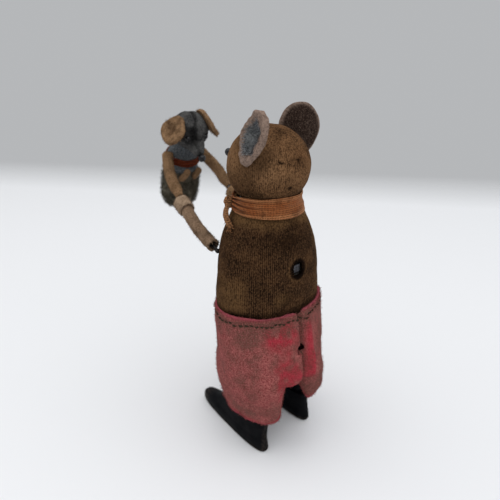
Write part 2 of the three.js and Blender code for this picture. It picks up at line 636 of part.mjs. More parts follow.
function youngArms() {
  for (const [name, side] of SIDES) {
    const hand = v3(side * HAND.x, HAND.y, HAND.z);
    const shoulder = v3(side * YOUNG_SHOULDER.x, YOUNG_SHOULDER.y, YOUNG_SHOULDER.z);
    const along = shoulder.clone().sub(hand).normalize();
    const start = hand.clone().addScaledVector(along, HAND_PIN.eye);
    const middle = v3(side * 0.3, YOUNG_SHOULDER.y, YOUNG_SHOULDER.z);
    const eye = eyeX(hand, HAND_PIN.eye, HAND_PIN.eyeWire);
    const other = side > 0 ? "right" : "left";
    piece(`young_${other}_arm_wire`, join(eye, wire([start, shoulder, middle], WIRE_R)), "steel");

    const from = hand.clone().addScaledVector(along, 3.4);
    const to = shoulder.clone().addScaledVector(along, -0.9);
    const bore = rod(hand, shoulder, WIRE_R + GAP, 8);
    piece(`young_${other}_sleeve`, cut(rod(from, to, YOUNG_SLEEVE_R, 12), bore), "youngFelt");
  }
}

// ---------------------------------------------------------------- the whole toy

for (const make of [
  torso, trousers, legsAndFeet, head, ribbon, plates, mainspring, windingArbor, greatWheel, train,
  armShaft, arms, youngMouse,
]) {
  make();
}

const bounds = new THREE.Box3().setFromObject(group);
const middle = bounds.getCenter(v3(0, 0, 0));
group.position.set(-middle.x, -middle.y, -bounds.min.z);

export default group;
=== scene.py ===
"""The looks of a clockwork mouse that swings a young mouse in its arms.

Everything is drawn in millimetres around the big mouse's upright axis, with +X its left side and the
young mouse towards -Y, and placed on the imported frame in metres.
"""

import json
import random
from math import atan2, copysign, cos, exp, hypot, pi, radians, sin

import bmesh
import bpy
from mathutils import Matrix, Vector, noise
from mathutils.bvhtree import BVHTree


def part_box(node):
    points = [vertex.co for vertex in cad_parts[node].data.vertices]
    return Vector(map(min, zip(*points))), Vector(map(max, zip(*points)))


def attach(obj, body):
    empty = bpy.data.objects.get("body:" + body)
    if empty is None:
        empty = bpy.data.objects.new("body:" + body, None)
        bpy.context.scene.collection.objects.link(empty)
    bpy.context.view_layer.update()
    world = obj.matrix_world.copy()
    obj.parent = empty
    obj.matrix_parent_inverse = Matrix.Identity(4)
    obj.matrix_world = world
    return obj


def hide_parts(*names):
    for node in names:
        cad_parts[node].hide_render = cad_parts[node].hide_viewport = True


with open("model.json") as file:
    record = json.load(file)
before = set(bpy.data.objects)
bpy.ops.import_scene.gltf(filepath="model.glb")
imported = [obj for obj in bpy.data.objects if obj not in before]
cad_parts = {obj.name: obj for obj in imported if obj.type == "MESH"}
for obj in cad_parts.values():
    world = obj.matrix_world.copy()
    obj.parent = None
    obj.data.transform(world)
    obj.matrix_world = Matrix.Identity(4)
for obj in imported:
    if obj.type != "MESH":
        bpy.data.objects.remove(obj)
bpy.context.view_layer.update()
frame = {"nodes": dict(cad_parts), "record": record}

MM = 0.001
ring_low, ring_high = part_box("neck_ribbon")
AXIS = Vector(((ring_low.x + ring_high.x) / 2, (ring_low.y + ring_high.y) / 2, 0))
SIDES = (("left", 1), ("right", -1))


def place(point):
    """A point in the drawing's millimetres, in the frame's metres."""
    return AXIS + Vector(point) * MM


def middle_of(node):
    """The middle of a CAD node's box, in the drawing's millimetres."""
    low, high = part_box(node)
    return ((low + high) / 2 - AXIS) / MM


# ------------------------------------------------------------------ camera, floor and light


def linked(name, data):
    """A new object in the scene."""
    obj = bpy.data.objects.new(name, data)
    bpy.context.collection.objects.link(obj)
    return obj


def camera():
    eye = Vector((77.6, 93.1, 116.4))
    aim = Vector((-0.5577, -0.7307, -0.3938))
    roll = radians(-0.97)
    data = bpy.data.cameras.new("camera")
    data.sensor_width = 36
    data.lens = 32.4
    data.clip_start = 0.005
    data.clip_end = 10
    data.dof.use_dof = True
    data.dof.focus_distance = 118 * MM
    data.dof.aperture_fstop = 20
    obj = linked("camera", data)
    turn = aim.to_track_quat("-Z", "Y").to_matrix() @ Matrix.Rotation(roll, 3, "Z")
    obj.matrix_world = Matrix.Translation(place(eye)) @ turn.to_4x4()
    bpy.context.scene.camera = obj


def area_light(name, offset, size, power, colour):
    """A round soft light, offset in millimetres from the middle of the toy and aimed at it."""
    data = bpy.data.lights.new(name, "AREA")
    data.shape = "DISK"
    data.size = size
    data.energy = power
    data.color = colour
    obj = linked(name, data)
    obj.location = place(Vector(offset) + Vector((0, -15, 45)))
    obj.rotation_euler = (-Vector(offset)).to_track_quat("-Z", "Y").to_euler()


def table():
    """A white table whose far edge melts into the backdrop along a straight line."""
    edge_normal = Vector((-0.7681, -0.6403, 0))
    along = edge_normal.cross(Vector((0, 0, 1)))
    near, melt, far = -900.0, 262.0, 368.0
    half = 1300
    ends = ((near, -half), (near, half), (far, half), (far, -half))
    corners = [edge_normal * d + along * w for d, w in ends]
    floor = mesh_piece("floor", corners, [(0, 1, 2, 3)])
    shader = Shader("floor_paper", roughness=0.55)
    past = shader.node("ShaderNodeVectorMath", {0: shader.position, 1: edge_normal}, operation="DOT_PRODUCT")
    start = melt * MM + AXIS.dot(edge_normal)
    share = shader.math("DIVIDE", shader.math("SUBTRACT", past.outputs["Value"], start), (far - melt) * MM)
    shader.colour((0.83, 0.837, 0.852))
    shader.plug(shader.ramp(share, (0.0, 1), (1.0, 0)), shader.bsdf.inputs["Alpha"])
    floor.data.materials.append(shader.material)


def studio():
    world = bpy.data.worlds.new("studio")
    bpy.context.scene.world = world
    world.use_nodes = True
    background = world.node_tree.nodes["Background"]
    background.inputs["Color"].default_value = (0.465, 0.475, 0.487, 1)
    background.inputs["Strength"].default_value = 1.0
    area_light("window", (330, -330, 700), 0.9, 1.8, (1, 0.99, 0.97))
    area_light("ceiling", (-40, 320, 850), 1.6, 7.6, (0.985, 0.99, 1))
    bpy.context.scene.view_settings.view_transform = "Standard"


# ------------------------------------------------------------------ materials


class Shader:
    """A Principled material and the few patterns that the finishes are made of. Sizes are in mm."""

    def __init__(self, name, **sockets):
        self.material = bpy.data.materials.new(name)
        self.material.use_nodes = True
        self.tree = self.material.node_tree
        self.bsdf = self.tree.nodes["Principled BSDF"]
        self.position = self.node("ShaderNodeTexCoord").outputs["Object"]
        for key, value in sockets.items():
            self.bsdf.inputs[key.replace("_", " ").title().replace("Ior", "IOR")].default_value = value

    def node(self, kind, inputs=None, **settings):
        node = self.tree.nodes.new(kind)
        for key, value in settings.items():
            setattr(node, key, value)
        for key, value in (inputs or {}).items():
            self.plug(value, node.inputs[key])
        return node

    def plug(self, value, socket):
        if isinstance(value, bpy.types.NodeSocket):
            self.tree.links.new(value, socket)
        else:
            socket.default_value = value

    def attribute(self, name, output="Fac"):
        return self.node("ShaderNodeAttribute", attribute_name=name).outputs[output]

    def noise(self, size, detail=3.0, rough=0.6, stretch=(1, 1, 1)):
        scale = self.node("ShaderNodeMapping", {"Vector": self.position})
        scale.inputs["Scale"].default_value = [1 / (size * MM * s) for s in stretch]
        inputs = {"Vector": scale.outputs[0], "Scale": 1.0, "Detail": detail, "Roughness": rough}
        return self.node("ShaderNodeTexNoise", inputs).outputs["Fac"]

    def math(self, operation, a, b=0.0, clamp=False):
        return self.node("ShaderNodeMath", {0: a, 1: b}, operation=operation, use_clamp=clamp).outputs[0]

    def ramp(self, factor, *stops):
        node = self.node("ShaderNodeValToRGB", {"Fac": factor})
        elements = node.color_ramp.elements
        while len(elements) < len(stops):
            elements.new(0.5)
        for element, (position, colour) in zip(elements, stops):
            element.position = position
            element.color = colour_of(colour)
        return node.outputs["Color"]

    def mix(self, factor, a, b):
        node = self.node("ShaderNodeMix", data_type="RGBA")
        self.plug(factor, node.inputs["Factor"])
        for value, socket in ((a, node.inputs[6]), (b, node.inputs[7])):
            self.plug(colour_of(value), socket)
        return node.outputs[2]

    def colour(self, value):
        self.plug(colour_of(value), self.bsdf.inputs["Base Color"])

    def rough(self, value):
        self.plug(value, self.bsdf.inputs["Roughness"])

    def bump(self, height, distance):
        """Adds a height pattern of that many millimetres on top of those before it."""
        node = self.node("ShaderNodeBump", {"Height": height, "Distance": distance * MM, "Strength": 1.0})
        before = self.bsdf.inputs["Normal"]
        if before.is_linked:
            self.tree.links.new(before.links[0].from_socket, node.inputs["Normal"])
        self.tree.links.new(node.outputs[0], before)

    def threads(self, across, along):
        """Two sets of fine lines on the lay of the cloth: a height from 0 to 1."""
        lay = self.node("ShaderNodeSeparateXYZ", {0: self.attribute("lay", "Vector")}).outputs
        wobble = self.math("MULTIPLY", self.noise(1.6, 2), 1.2)
        lines = []
        for socket, pitch in ((lay[0], across), (lay[1], along)):
            if pitch:
                turn = self.math("ADD", self.math("MULTIPLY", socket, 2 * pi / pitch), wobble)
                lines.append(self.math("SINE", turn))
        total = lines[0] if len(lines) == 1 else self.math("MAXIMUM", *lines)
        return self.math("ADD", self.math("MULTIPLY", total, 0.5), 0.5)


def colour_of(value):
    if isinstance(value, bpy.types.NodeSocket):
        return value
    if isinstance(value, (int, float)):
        value = (value, value, value)
    return (*value, 1) if len(value) == 3 else value


def velvet(name, dark, brown, worn, bare, ribbed):
    """Velvet whose pile is worn through to its ribbed backing where the paint called wear is strong."""
    s = Shader(name, roughness=0.9, sheen_weight=0.06, sheen_roughness=0.4,
               sheen_tint=colour_of(bare), specular_ior_level=0.02)
    blotch = s.noise(5.0, 6, 0.7)
    grain = s.noise(0.42, 5, 0.8, (1, 1, 1.6))
    ribs = s.threads(0.55, None)
    pile = s.math("ADD", s.math("MULTIPLY", grain, 1 - ribbed), s.math("MULTIPLY", ribs, ribbed))
    base = s.mix(s.ramp(blotch, (0.42, 0), (0.60, 1)), dark, brown)
    base = s.mix(s.ramp(pile, (0.45, 0), (0.62, 0.9)), base, worn)
    wear_and_highlight = s.math("ADD", s.attribute("wear_and_highlight"), s.math("MULTIPLY", s.math("SUBTRACT", blotch, 0.5), 1.1))
    wear_and_highlight = s.math("MULTIPLY", wear_and_highlight, s.ramp(pile, (0.3, 0.35), (0.6, 1)), clamp=True)
    base = s.mix(wear_and_highlight, base, bare)
    base = s.mix(s.ramp(pile, (0.34, 0.85), (0.50, 0)), base, dark)
    # Darker where the dirt paint is strong: grime, and on the head painted shade along its bottom.
    base = s.mix(s.attribute("dirt_and_shade"), base, tuple(c * 0.35 for c in dark))
    base = s.mix(s.ramp(s.noise(0.3, 2, 0.5), (0.66, 0), (0.74, 0.5)), base, tuple(c * 1.8 for c in bare))
    s.colour(base)
    s.bump(grain, 0.22)
    s.bump(ribs, 0.3 * ribbed)
    s.bump(s.noise(2.4, 3), 0.15)
    return s.material


def felt(name, base, light, soil_and_shade, pitch=0.55, fuzz=0.2, cloud=5.0):
    """Matted wool felt: fibres in every direction, grime in blotches, and on the young mouse's face painted
    shade and a painted highlight.
    """
    s = Shader(name, roughness=0.95, sheen_weight=0.08, sheen_roughness=0.5,
               sheen_tint=colour_of(light), specular_ior_level=0.02)
    fibre = s.noise(pitch, 5, 0.85)
    fleck = s.noise(pitch * 0.5, 3, 0.75)
    blotch = s.noise(cloud, 5, 0.7)
    colour = s.mix(s.ramp(fibre, (0.40, 0), (0.60, 1)), base, light)
    # Grime from the dirt paint and in clouds; on the young mouse's face that paint holds painted shade.
    soiled_and_shaded = s.math("ADD", s.attribute("dirt_and_shade"), s.ramp(blotch, (0.45, 0), (0.68, 0.8)), clamp=True)
    soiled_and_shaded = s.math("MULTIPLY", soiled_and_shaded, s.ramp(fleck, (0.36, 0.35), (0.56, 1)))
    colour = s.mix(soiled_and_shaded, colour, soil_and_shade)
    # Lighter where the wear paint is strong: rubbed wear, and on the young mouse's face a painted highlight.
    rubbed_and_highlit = s.math("MULTIPLY", s.attribute("wear_and_highlight"), s.ramp(fibre, (0.38, 0.3), (0.58, 1)), clamp=True)
    colour = s.mix(rubbed_and_highlit, colour, light)
    s.colour(colour)
    s.bump(fibre, fuzz)
    s.bump(fleck, fuzz * 0.5)
    return s


def lined_felt(name, base, light, soil_and_shade, lining, lining_light):
    """Felt with another cloth where the paint called lining is strong."""
    s = felt(name, base, light, soil_and_shade)
    outside = s.bsdf.inputs["Base Color"].links[0].from_socket
    fleck = s.noise(0.5, 4, 0.8)
    inside = s.mix(s.ramp(fleck, (0.42, 0), (0.6, 1)), lining, lining_light)
    s.colour(s.mix(s.attribute("lining"), outside, inside))
    return s.material


def trouser_felt():
    """Rose felt: crimson where it is clean, grey where it is dirty, darker with painted shade on the right
    side, pink at its cut edges.
    """
    s = Shader("trouser_felt", roughness=0.95, sheen_weight=0.05, sheen_roughness=0.5,
               sheen_tint=(0.9, 0.5, 0.5, 1), specular_ior_level=0.02)
    fibre = s.noise(0.38, 5, 0.85)
    fleck = s.noise(0.26, 4, 0.85)
    cloud = s.noise(4.5, 5, 0.7)
    rose = s.mix(s.ramp(fibre, (0.42, 0), (0.58, 1)), (0.19, 0.026, 0.030), (0.52, 0.165, 0.15))
    crimson = s.mix(s.ramp(fibre, (0.40, 0), (0.60, 1)), (0.30, 0.010, 0.026), (0.62, 0.065, 0.090))
    clean = s.math("ADD", s.attribute("wear_and_highlight"), s.math("MULTIPLY", s.math("SUBTRACT", cloud, 0.5), 1.1))
    colour = s.mix(s.ramp(clean, (0.15, 0), (0.90, 1)), rose, crimson)
    # Grime from the dirt paint and in clouds; on the right side that paint holds painted shade.
    soil_and_shade = s.math("ADD", s.attribute("dirt_and_shade"), s.ramp(cloud, (0.40, 0.15), (0.62, 0.8)), clamp=True)
    soil_and_shade = s.math("MULTIPLY", soil_and_shade, s.ramp(fleck, (0.40, 0.12), (0.58, 1)))
    colour = s.mix(soil_and_shade, colour, (0.085, 0.058, 0.04))
    cut_edge = s.math("MULTIPLY", s.attribute("edge"), s.ramp(fleck, (0.38, 0.45), (0.58, 1)))
    colour = s.mix(cut_edge, colour, (0.50, 0.075, 0.125))
    s.colour(colour)
    s.bump(fibre, 0.25)
    s.bump(fleck, 0.12)
    return s.material


def gauze(name, rust, tan, dark):
    """Thin open ribbon: threads both ways, rusty where the paint called wear is low."""
    s = Shader(name, roughness=0.8, sheen_weight=0.06, sheen_roughness=0.4, specular_ior_level=0.05)
    weave = s.threads(0.42, 0.5)
    cloud = s.noise(3.0, 5, 0.7)
    colour = s.mix(s.math("ADD", s.attribute("wear_and_highlight"), s.math("SUBTRACT", cloud, 0.5), clamp=True), rust, tan)
    colour = s.mix(s.ramp(weave, (0.22, 0.95), (0.68, 0)), colour, dark)
    colour = s.mix(s.ramp(s.noise(0.5, 4, 0.8), (0.36, 0.6), (0.5, 0)), colour, dark)
    # Darker where the dirt paint is strong: grime, and painted shade in the neck band's pleat valleys.
    colour = s.mix(s.attribute("dirt_and_shade"), colour, tuple(c * 0.4 for c in dark))
    s.colour(colour)
    s.bump(weave, 0.12)
    s.bump(cloud, 0.1)
    return s.material


def black_paint():
    s = Shader("black_paint", roughness=0.5, specular_ior_level=0.03)
    patches = s.noise(5, 5, 0.7)
    scuffs = s.noise(0.9, 4, 0.8, (1, 3, 1))
    colour = s.mix(s.ramp(patches, (0.42, 0), (0.66, 1)), (0.0014, 0.0017, 0.0026), (0.0062, 0.0062, 0.0074))
    edge = s.math("MULTIPLY", s.attribute("wear_and_highlight"), s.ramp(scuffs, (0.45, 0), (0.60, 1)))
    colour = s.mix(edge, colour, (0.075, 0.06, 0.05))
    s.colour(colour)
    s.rough(s.ramp(scuffs, (0.3, 0.36), (0.7, 0.62)))
    s.bump(patches, 0.12)
    s.bump(scuffs, 0.03)
    return s.material


def metal(name, light, dark, rough, spots):
    """Drawn or stamped metal with fine tool lines and stains."""
    s = Shader(name, metallic=1.0)
    stain = s.noise(spots, 5, 0.7)
    tool = s.noise(0.5, 3, 0.6, (1, 14, 1))
    s.colour(s.mix(s.ramp(stain, (0.45, 0), (0.72, 1)), light, dark))
    s.rough(s.ramp(stain, (0.3, rough), (0.75, min(1, rough + 0.3))))
    s.bump(tool, 0.02)
    s.bump(stain, 0.03)
    return s.material


def bead_glass():
    s = Shader("bead_glass", roughness=0.2, specular_ior_level=0.35)
    haze = s.noise(0.8, 4)
    s.colour(s.mix(haze, (0.002, 0.002, 0.003), (0.012, 0.011, 0.012)))
    s.rough(s.ramp(haze, (0.4, 0.14), (0.7, 0.4)))
    s.bump(haze, 0.02)
    return s.material


def materials():
    return {
        "velvet": velvet("velvet", (0.010, 0.0046, 0.0028), (0.040, 0.0180, 0.0085), (0.105, 0.055, 0.026),
                         (0.165, 0.088, 0.036), 0.1),
        "head_velvet": velvet("head_velvet", (0.018, 0.0080, 0.0036), (0.076, 0.033, 0.0135),
                              (0.175, 0.089, 0.041), (0.270, 0.145, 0.070), 0.05),
        "trouser_felt": trouser_felt(),
        "ear_felt": lined_felt("ear_felt", (0.055, 0.032, 0.024), (0.33, 0.235, 0.185), (0.013, 0.007, 0.005),
                               (0.020, 0.022, 0.027), (0.16, 0.17, 0.18)),
        "sleeve_felt": felt("sleeve_felt", (0.080, 0.043, 0.025), (0.36, 0.240, 0.155),
                            (0.030, 0.016, 0.010), 0.42).material,
        "cuff_felt": felt("cuff_felt", (0.17, 0.105, 0.060), (0.46, 0.33, 0.225),
                          (0.075, 0.042, 0.024)).material,
        "tan_felt": felt("tan_felt", (0.085, 0.042, 0.020), (0.34, 0.205, 0.110),
                         (0.035, 0.018, 0.011), 0.42).material,
        "grey_felt": felt("grey_felt", (0.019, 0.020, 0.022), (0.120, 0.117, 0.112), (0.0025, 0.0022, 0.0024),
                          cloud=3.0).material,
        "young_pile": lined_felt("young_pile", (0.046, 0.042, 0.031), (0.20, 0.18, 0.135),
                                 (0.014, 0.012, 0.009), (0.045, 0.052, 0.060), (0.17, 0.19, 0.21)),
        "ear_hair": felt("ear_hair", (0.10, 0.105, 0.11), (0.55, 0.56, 0.56), (0.03, 0.03, 0.033)).material,
        "trouser_nap": felt("trouser_nap", (0.21, 0.035, 0.04), (0.50, 0.15, 0.14),
                            (0.09, 0.06, 0.045)).material,
        "ribbon": gauze("ribbon", (0.29, 0.082, 0.024), (0.47, 0.225, 0.100), (0.040, 0.015, 0.006)),
        "rust_ribbon": gauze("rust_ribbon", (0.22, 0.035, 0.012), (0.32, 0.085, 0.03), (0.022, 0.006, 0.004)),
        "black_paint": black_paint(),
        "tin": metal("tin", (0.50, 0.49, 0.46), (0.16, 0.13, 0.10), 0.32, 4),
        "brass": metal("brass", (0.62, 0.45, 0.18), (0.22, 0.14, 0.05), 0.3, 3),
        "steel": metal("steel", (0.42, 0.42, 0.43), (0.09, 0.075, 0.065), 0.3, 1.5),
        "dark_steel": metal("dark_steel", (0.10, 0.10, 0.11), (0.03, 0.025, 0.022), 0.45, 0.9),
        "dark_wire": metal("dark_wire", (0.035, 0.032, 0.03), (0.012, 0.009, 0.007), 0.35, 1.2),
        "bead": bead_glass(),
        "thread": felt("thread", (0.022, 0.017, 0.011), (0.085, 0.060, 0.040), (0.010, 0.007, 0.005),
                       0.25, 0.05).material,
    }


# ------------------------------------------------------------------ mesh tools


def smooth(a, b, x):
    """0 before a, 1 after b, and an even curve between."""
    t = min(max((x - a) / (b - a), 0.0), 1.0)
    return t * t * (3 - 2 * t)


def bell(x, width):
    return exp(-((x / width) ** 2))


def spot(p, centre, width):
    """1 at a point, falling off evenly around it."""
    return bell((p - Vector(centre)).length, width)


def lumps(point, size, seed=0.0):
    """Smooth noise from -1 to 1 with lumps of about that many millimetres."""
    return noise.noise(Vector(point) / size + Vector((seed, seed * 1.7, -seed)))


def curve_through(rows, z):
    """The row at height z, on a smooth curve through rows whose first number is the height."""
    if z <= rows[0][0]:
        return rows[0][1:]
    for i in range(len(rows) - 1):
        low, high = rows[i], rows[i + 1]
        if z <= high[0]:
            t = (z - low[0]) / (high[0] - low[0])
            before = rows[max(i - 1, 0)]
            after = rows[min(i + 2, len(rows) - 1)]
            values = []
            for k in range(1, len(low)):
                m0 = (high[k] - before[k]) / (high[0] - before[0]) * (high[0] - low[0])
                m1 = (after[k] - low[k]) / (after[0] - low[0]) * (high[0] - low[0])
                h = (2 * t**3 - 3 * t**2 + 1, t**3 - 2 * t**2 + t, -2 * t**3 + 3 * t**2, t**3 - t**2)
                values.append(h[0] * low[k] + h[1] * m0 + h[2] * high[k] + h[3] * m1)
            return values
    return rows[-1][1:]


def mesh_piece(name, points, faces):
    mesh = bpy.data.meshes.new(name)
    mesh.from_pydata([place(p) for p in points], [], faces)
    mesh.update()
    return linked(name, mesh)


def tube_faces(rows, columns):
    """Quads between rows of points, closed round each row."""
    faces = []
    for r in range(rows - 1):
        for c in range(columns):
            d = (c + 1) % columns
            faces.append((r * columns + c, r * columns + d, (r + 1) * columns + d, (r + 1) * columns + c))
    return faces


def end_caps(rows, columns):
    """The two flat ends of a tube of rows."""
    last = (rows - 1) * columns
    return [tuple(reversed(range(columns))), tuple(range(last, last + columns))]


def circle(columns):
    """Evenly spread angles round a full turn."""
    return [2 * pi * c / columns for c in range(columns)]


def modify(obj, kind, **settings):
    """Adds one modifier and applies it at once."""
    modifier = obj.modifiers.new(kind.lower(), kind)
    for key, value in settings.items():
        setattr(modifier, key, value)
    bpy.context.view_layer.update()
    mesh = bpy.data.meshes.new_from_object(obj.evaluated_get(bpy.context.evaluated_depsgraph_get()))
    obj.modifiers.clear()
    old, obj.data = obj.data, mesh
    bpy.data.meshes.remove(old)


def thicken(obj, thickness):
    """Gives a surface its thickness inwards, in millimetres."""
    modify(obj, "SOLIDIFY", thickness=thickness * MM, offset=-1.0, use_even_offset=False)


def drawn(obj):
    """The piece's points, in the drawing's millimetres."""
    return [(v.co - AXIS) / MM for v in obj.data.vertices]


def sculpt(obj, move):
    """Moves each point: move takes the point and its normal, and returns the new point."""
    normals = [Vector(v.vector) for v in obj.data.vertex_normals]
    for vertex, point, normal in zip(obj.data.vertices, drawn(obj), normals):
        vertex.co = place(move(point, normal))
    obj.data.update()


def paint(obj, name, shade):
    """Stores a number from 0 to 1 on each point, for the material to read."""
    layer = obj.data.attributes.new(name, "FLOAT", "POINT")
    layer.data.foreach_set("value", [min(max(shade(p), 0.0), 1.0) for p in drawn(obj)])


def lay(obj, direction):
    """Stores how the cloth lies: direction gives its place across and along the threads, in mm."""
    layer = obj.data.attributes.new("lay", "FLOAT_VECTOR", "POINT")
    values = []
    for p in drawn(obj):
        values.extend((*direction(p), 0))
    layer.data.foreach_set("vector", values)


def round_body(p, radius=14.0, x=0.0, y=0.0):
    return atan2(p.x - x, -(p.y - y)) * radius, p.z


def finish_piece(obj, body, slot, *nodes, look=None):
    """Gives a piece its material (look's, or else the slot's) and its body, and hides the CAD nodes that it
    replaces.
    """
    obj.data.shade_smooth()
    obj.data.materials.clear()
    obj.data.materials.append(MATERIALS[look or slot])
    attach(obj, body)
    if nodes:
        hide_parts(*nodes)
    return obj


def cut_levels(obj, *cuts):
    """For each height, cuts away what is above it or what is below it."""
    bm = bmesh.new()
    bm.from_mesh(obj.data)
    for z, above in cuts:
        whole = bm.verts[:] + bm.edges[:] + bm.faces[:]
        bmesh.ops.bisect_plane(bm, geom=whole, plane_co=place((0, 0, z)), plane_no=(0, 0, 1),
                               clear_outer=above, clear_inner=not above)
    bm.to_mesh(obj.data)
    bm.free()


def cut_hole(obj, inside, centre, axes, side):
    """Opens a hole where inside(angle) is its radius, seen along one axis on that side only.

    Points within one face of the rim are moved onto it, so the rim is clean."""
    bm = bmesh.new()
    bm.from_mesh(obj.data)
    reach = {}
    for v in bm.verts:
        p = (v.co - AXIS) / MM
        a, b = p[axes[0]] - centre[0], p[axes[1]] - centre[1]
        third = 3 - axes[0] - axes[1]
        if p[third] * side > 0:
            r = hypot(a, b)
            rim = inside(atan2(b, a))
            if r < rim:
                reach[v] = (a, b, r, rim)
    doomed = [v for v in reach if all(e.other_vert(v) in reach for e in v.link_edges)]
    for v in set(reach) - set(doomed):
        a, b, r, rim = reach[v]
        stretch = rim / max(r, 1e-6)
        p = (v.co - AXIS) / MM
        p[axes[0]] = centre[0] + a * stretch
        p[axes[1]] = centre[1] + b * stretch
        v.co = place(p)
    bmesh.ops.delete(bm, geom=doomed, context="VERTS")
    bm.to_mesh(obj.data)
    bm.free()
    obj.data.update()


def sweep(name, path, radius, columns=12, caps=True):
    """A tube along a path; radius is a number or takes the share of the path."""
    points = []
    path = [Vector(p) for p in path]
    side = None
    for i, p in enumerate(path):
        ahead = (path[min(i + 1, len(path) - 1)] - path[max(i - 1, 0)]).normalized()
        if side is None:
            side = ahead.orthogonal().normalized()
        side = (side - ahead * side.dot(ahead)).normalized()
        up = ahead.cross(side)
        r = radius(i / (len(path) - 1)) if callable(radius) else radius
        for t in circle(columns):
            points.append(p + side * (r * cos(t)) + up * (r * sin(t)))
    faces = tube_faces(len(path), columns)
    if caps:
        faces += end_caps(len(path), columns)
    return mesh_piece(name, points, faces)


def joined(name, pieces):
    """One object from several that were made apart."""
    bm = bmesh.new()
    for piece in pieces:
        bm.from_mesh(piece.data)
        bpy.data.meshes.remove(piece.data)
    mesh = bpy.data.meshes.new(name)
    bm.to_mesh(mesh)
    bm.free()
    return linked(name, mesh)


def moulded(name, solids, voxel, passes=4):
    """Closed solids melted into one skin."""
    obj = joined(name, solids)
    modify(obj, "REMESH", mode="VOXEL", voxel_size=voxel * MM)
    modify(obj, "SMOOTH", factor=0.5, iterations=passes)
    return obj


def oval_solid(name, sections, columns=64, power=2.0):
    """A closed solid through sections of (height, half width, half depth, middle y, middle x)."""
    points = []
    for z, a, b, y, x in sections:
        for t in circle(columns):
            u, v = cos(t), sin(t)
            points.append((x + a * copysign(abs(u) ** (2 / power), u),
                           y + b * copysign(abs(v) ** (2 / power), v), z))
    return mesh_piece(name, points, tube_faces(len(sections), columns) + end_caps(len(sections), columns))


def fine_rows(rows, step):
    """Sections along the smooth curve through rows, every step of height."""
    count = max(2, round((rows[-1][0] - rows[0][0]) / step))
    heights = [rows[0][0] + (rows[-1][0] - rows[0][0]) * i / count for i in range(count + 1)]
    return [(z, *curve_through(rows, z)) for z in heights]


def globe(name, centre, radii, columns=48, rows=32):
    points = [Vector(centre) + Vector((0, 0, -radii[2]))]
    for r in range(1, rows):
        f = pi * r / rows
        for t in circle(columns):
            points.append((centre[0] + radii[0] * sin(f) * cos(t),
                           centre[1] + radii[1] * sin(f) * sin(t),
                           centre[2] - radii[2] * cos(f)))
    points.append(Vector(centre) + Vector((0, 0, radii[2])))
    faces = [tuple(i + 1 for i in face) for face in tube_faces(rows - 1, columns)]
    top = len(points) - 1
    for c in range(columns):
        d = (c + 1) % columns
        faces.append((0, 1 + d, 1 + c))
        faces.append((top, top - columns + c, top - columns + d))
    return mesh_piece(name, points, faces)


def everywhere(p, n):
    return True


def nap(name, skin, body, slot, material, count, lengths, lean, where=everywhere, radius=0.05):
    """Short loose fibres standing out of a felt: where picks the points of the skin that carry them."""
    rng = random.Random(name)
    roots = [(p, Vector(n.vector)) for p, n in zip(drawn(skin), skin.data.vertex_normals)]
    roots = [(p, n) for p, n in roots if where(p, n)]
    points, faces = [], []
    for _ in range(count):
        p, n = rng.choice(roots)
        p = p + Vector([rng.uniform(-0.2, 0.2) for _ in range(3)])
        tilt = Vector([rng.uniform(-lean, lean) for _ in range(3)]) - Vector((0, 0, 0.25))
        tip = p + (n + tilt).normalized() * rng.uniform(*lengths)
        side = n.orthogonal().normalized() * radius
        other = n.cross(side)
        root = p - n * 0.12
        knee = root.lerp(tip, 0.55) + tilt * 0.08
        first = len(points)
        ring = (side, other - side * 0.5, -other - side * 0.5)
        points += [root + v for v in ring] + [knee + v * 0.8 for v in ring] + [tip]
        for k in range(3):
            m = (k + 1) % 3
            faces.append((first + k, first + m, first + 3 + m, first + 3 + k))
            faces.append((first + 3 + k, first + 3 + m, first + 6))
        faces.append((first + 2, first + 1, first))
    obj = mesh_piece(name, points, faces)
    paint(obj, "wear_and_highlight", lambda p: 0.4 + 0.6 * lumps(p, 2.0, 125))
    paint(obj, "dirt_and_shade", lambda p: 0.3 + 0.5 * lumps(p, 3.0, 126))
    return finish_piece(obj, body, slot, look=material)


# ------------------------------------------------------------------ torso

WAIST_Z = 50
SKIN = [
    (46, 16.3, 12.5), (WAIST_Z + 0.5, 16.65, 12.85), (56, 16.3, 13.0), (62, 15.4, 13.1),
    (68, 14.15, 12.7), (73, 12.3, 11.75), (77.6, 9.9, 9.9), (81.2, 9.0, 9.0),
]


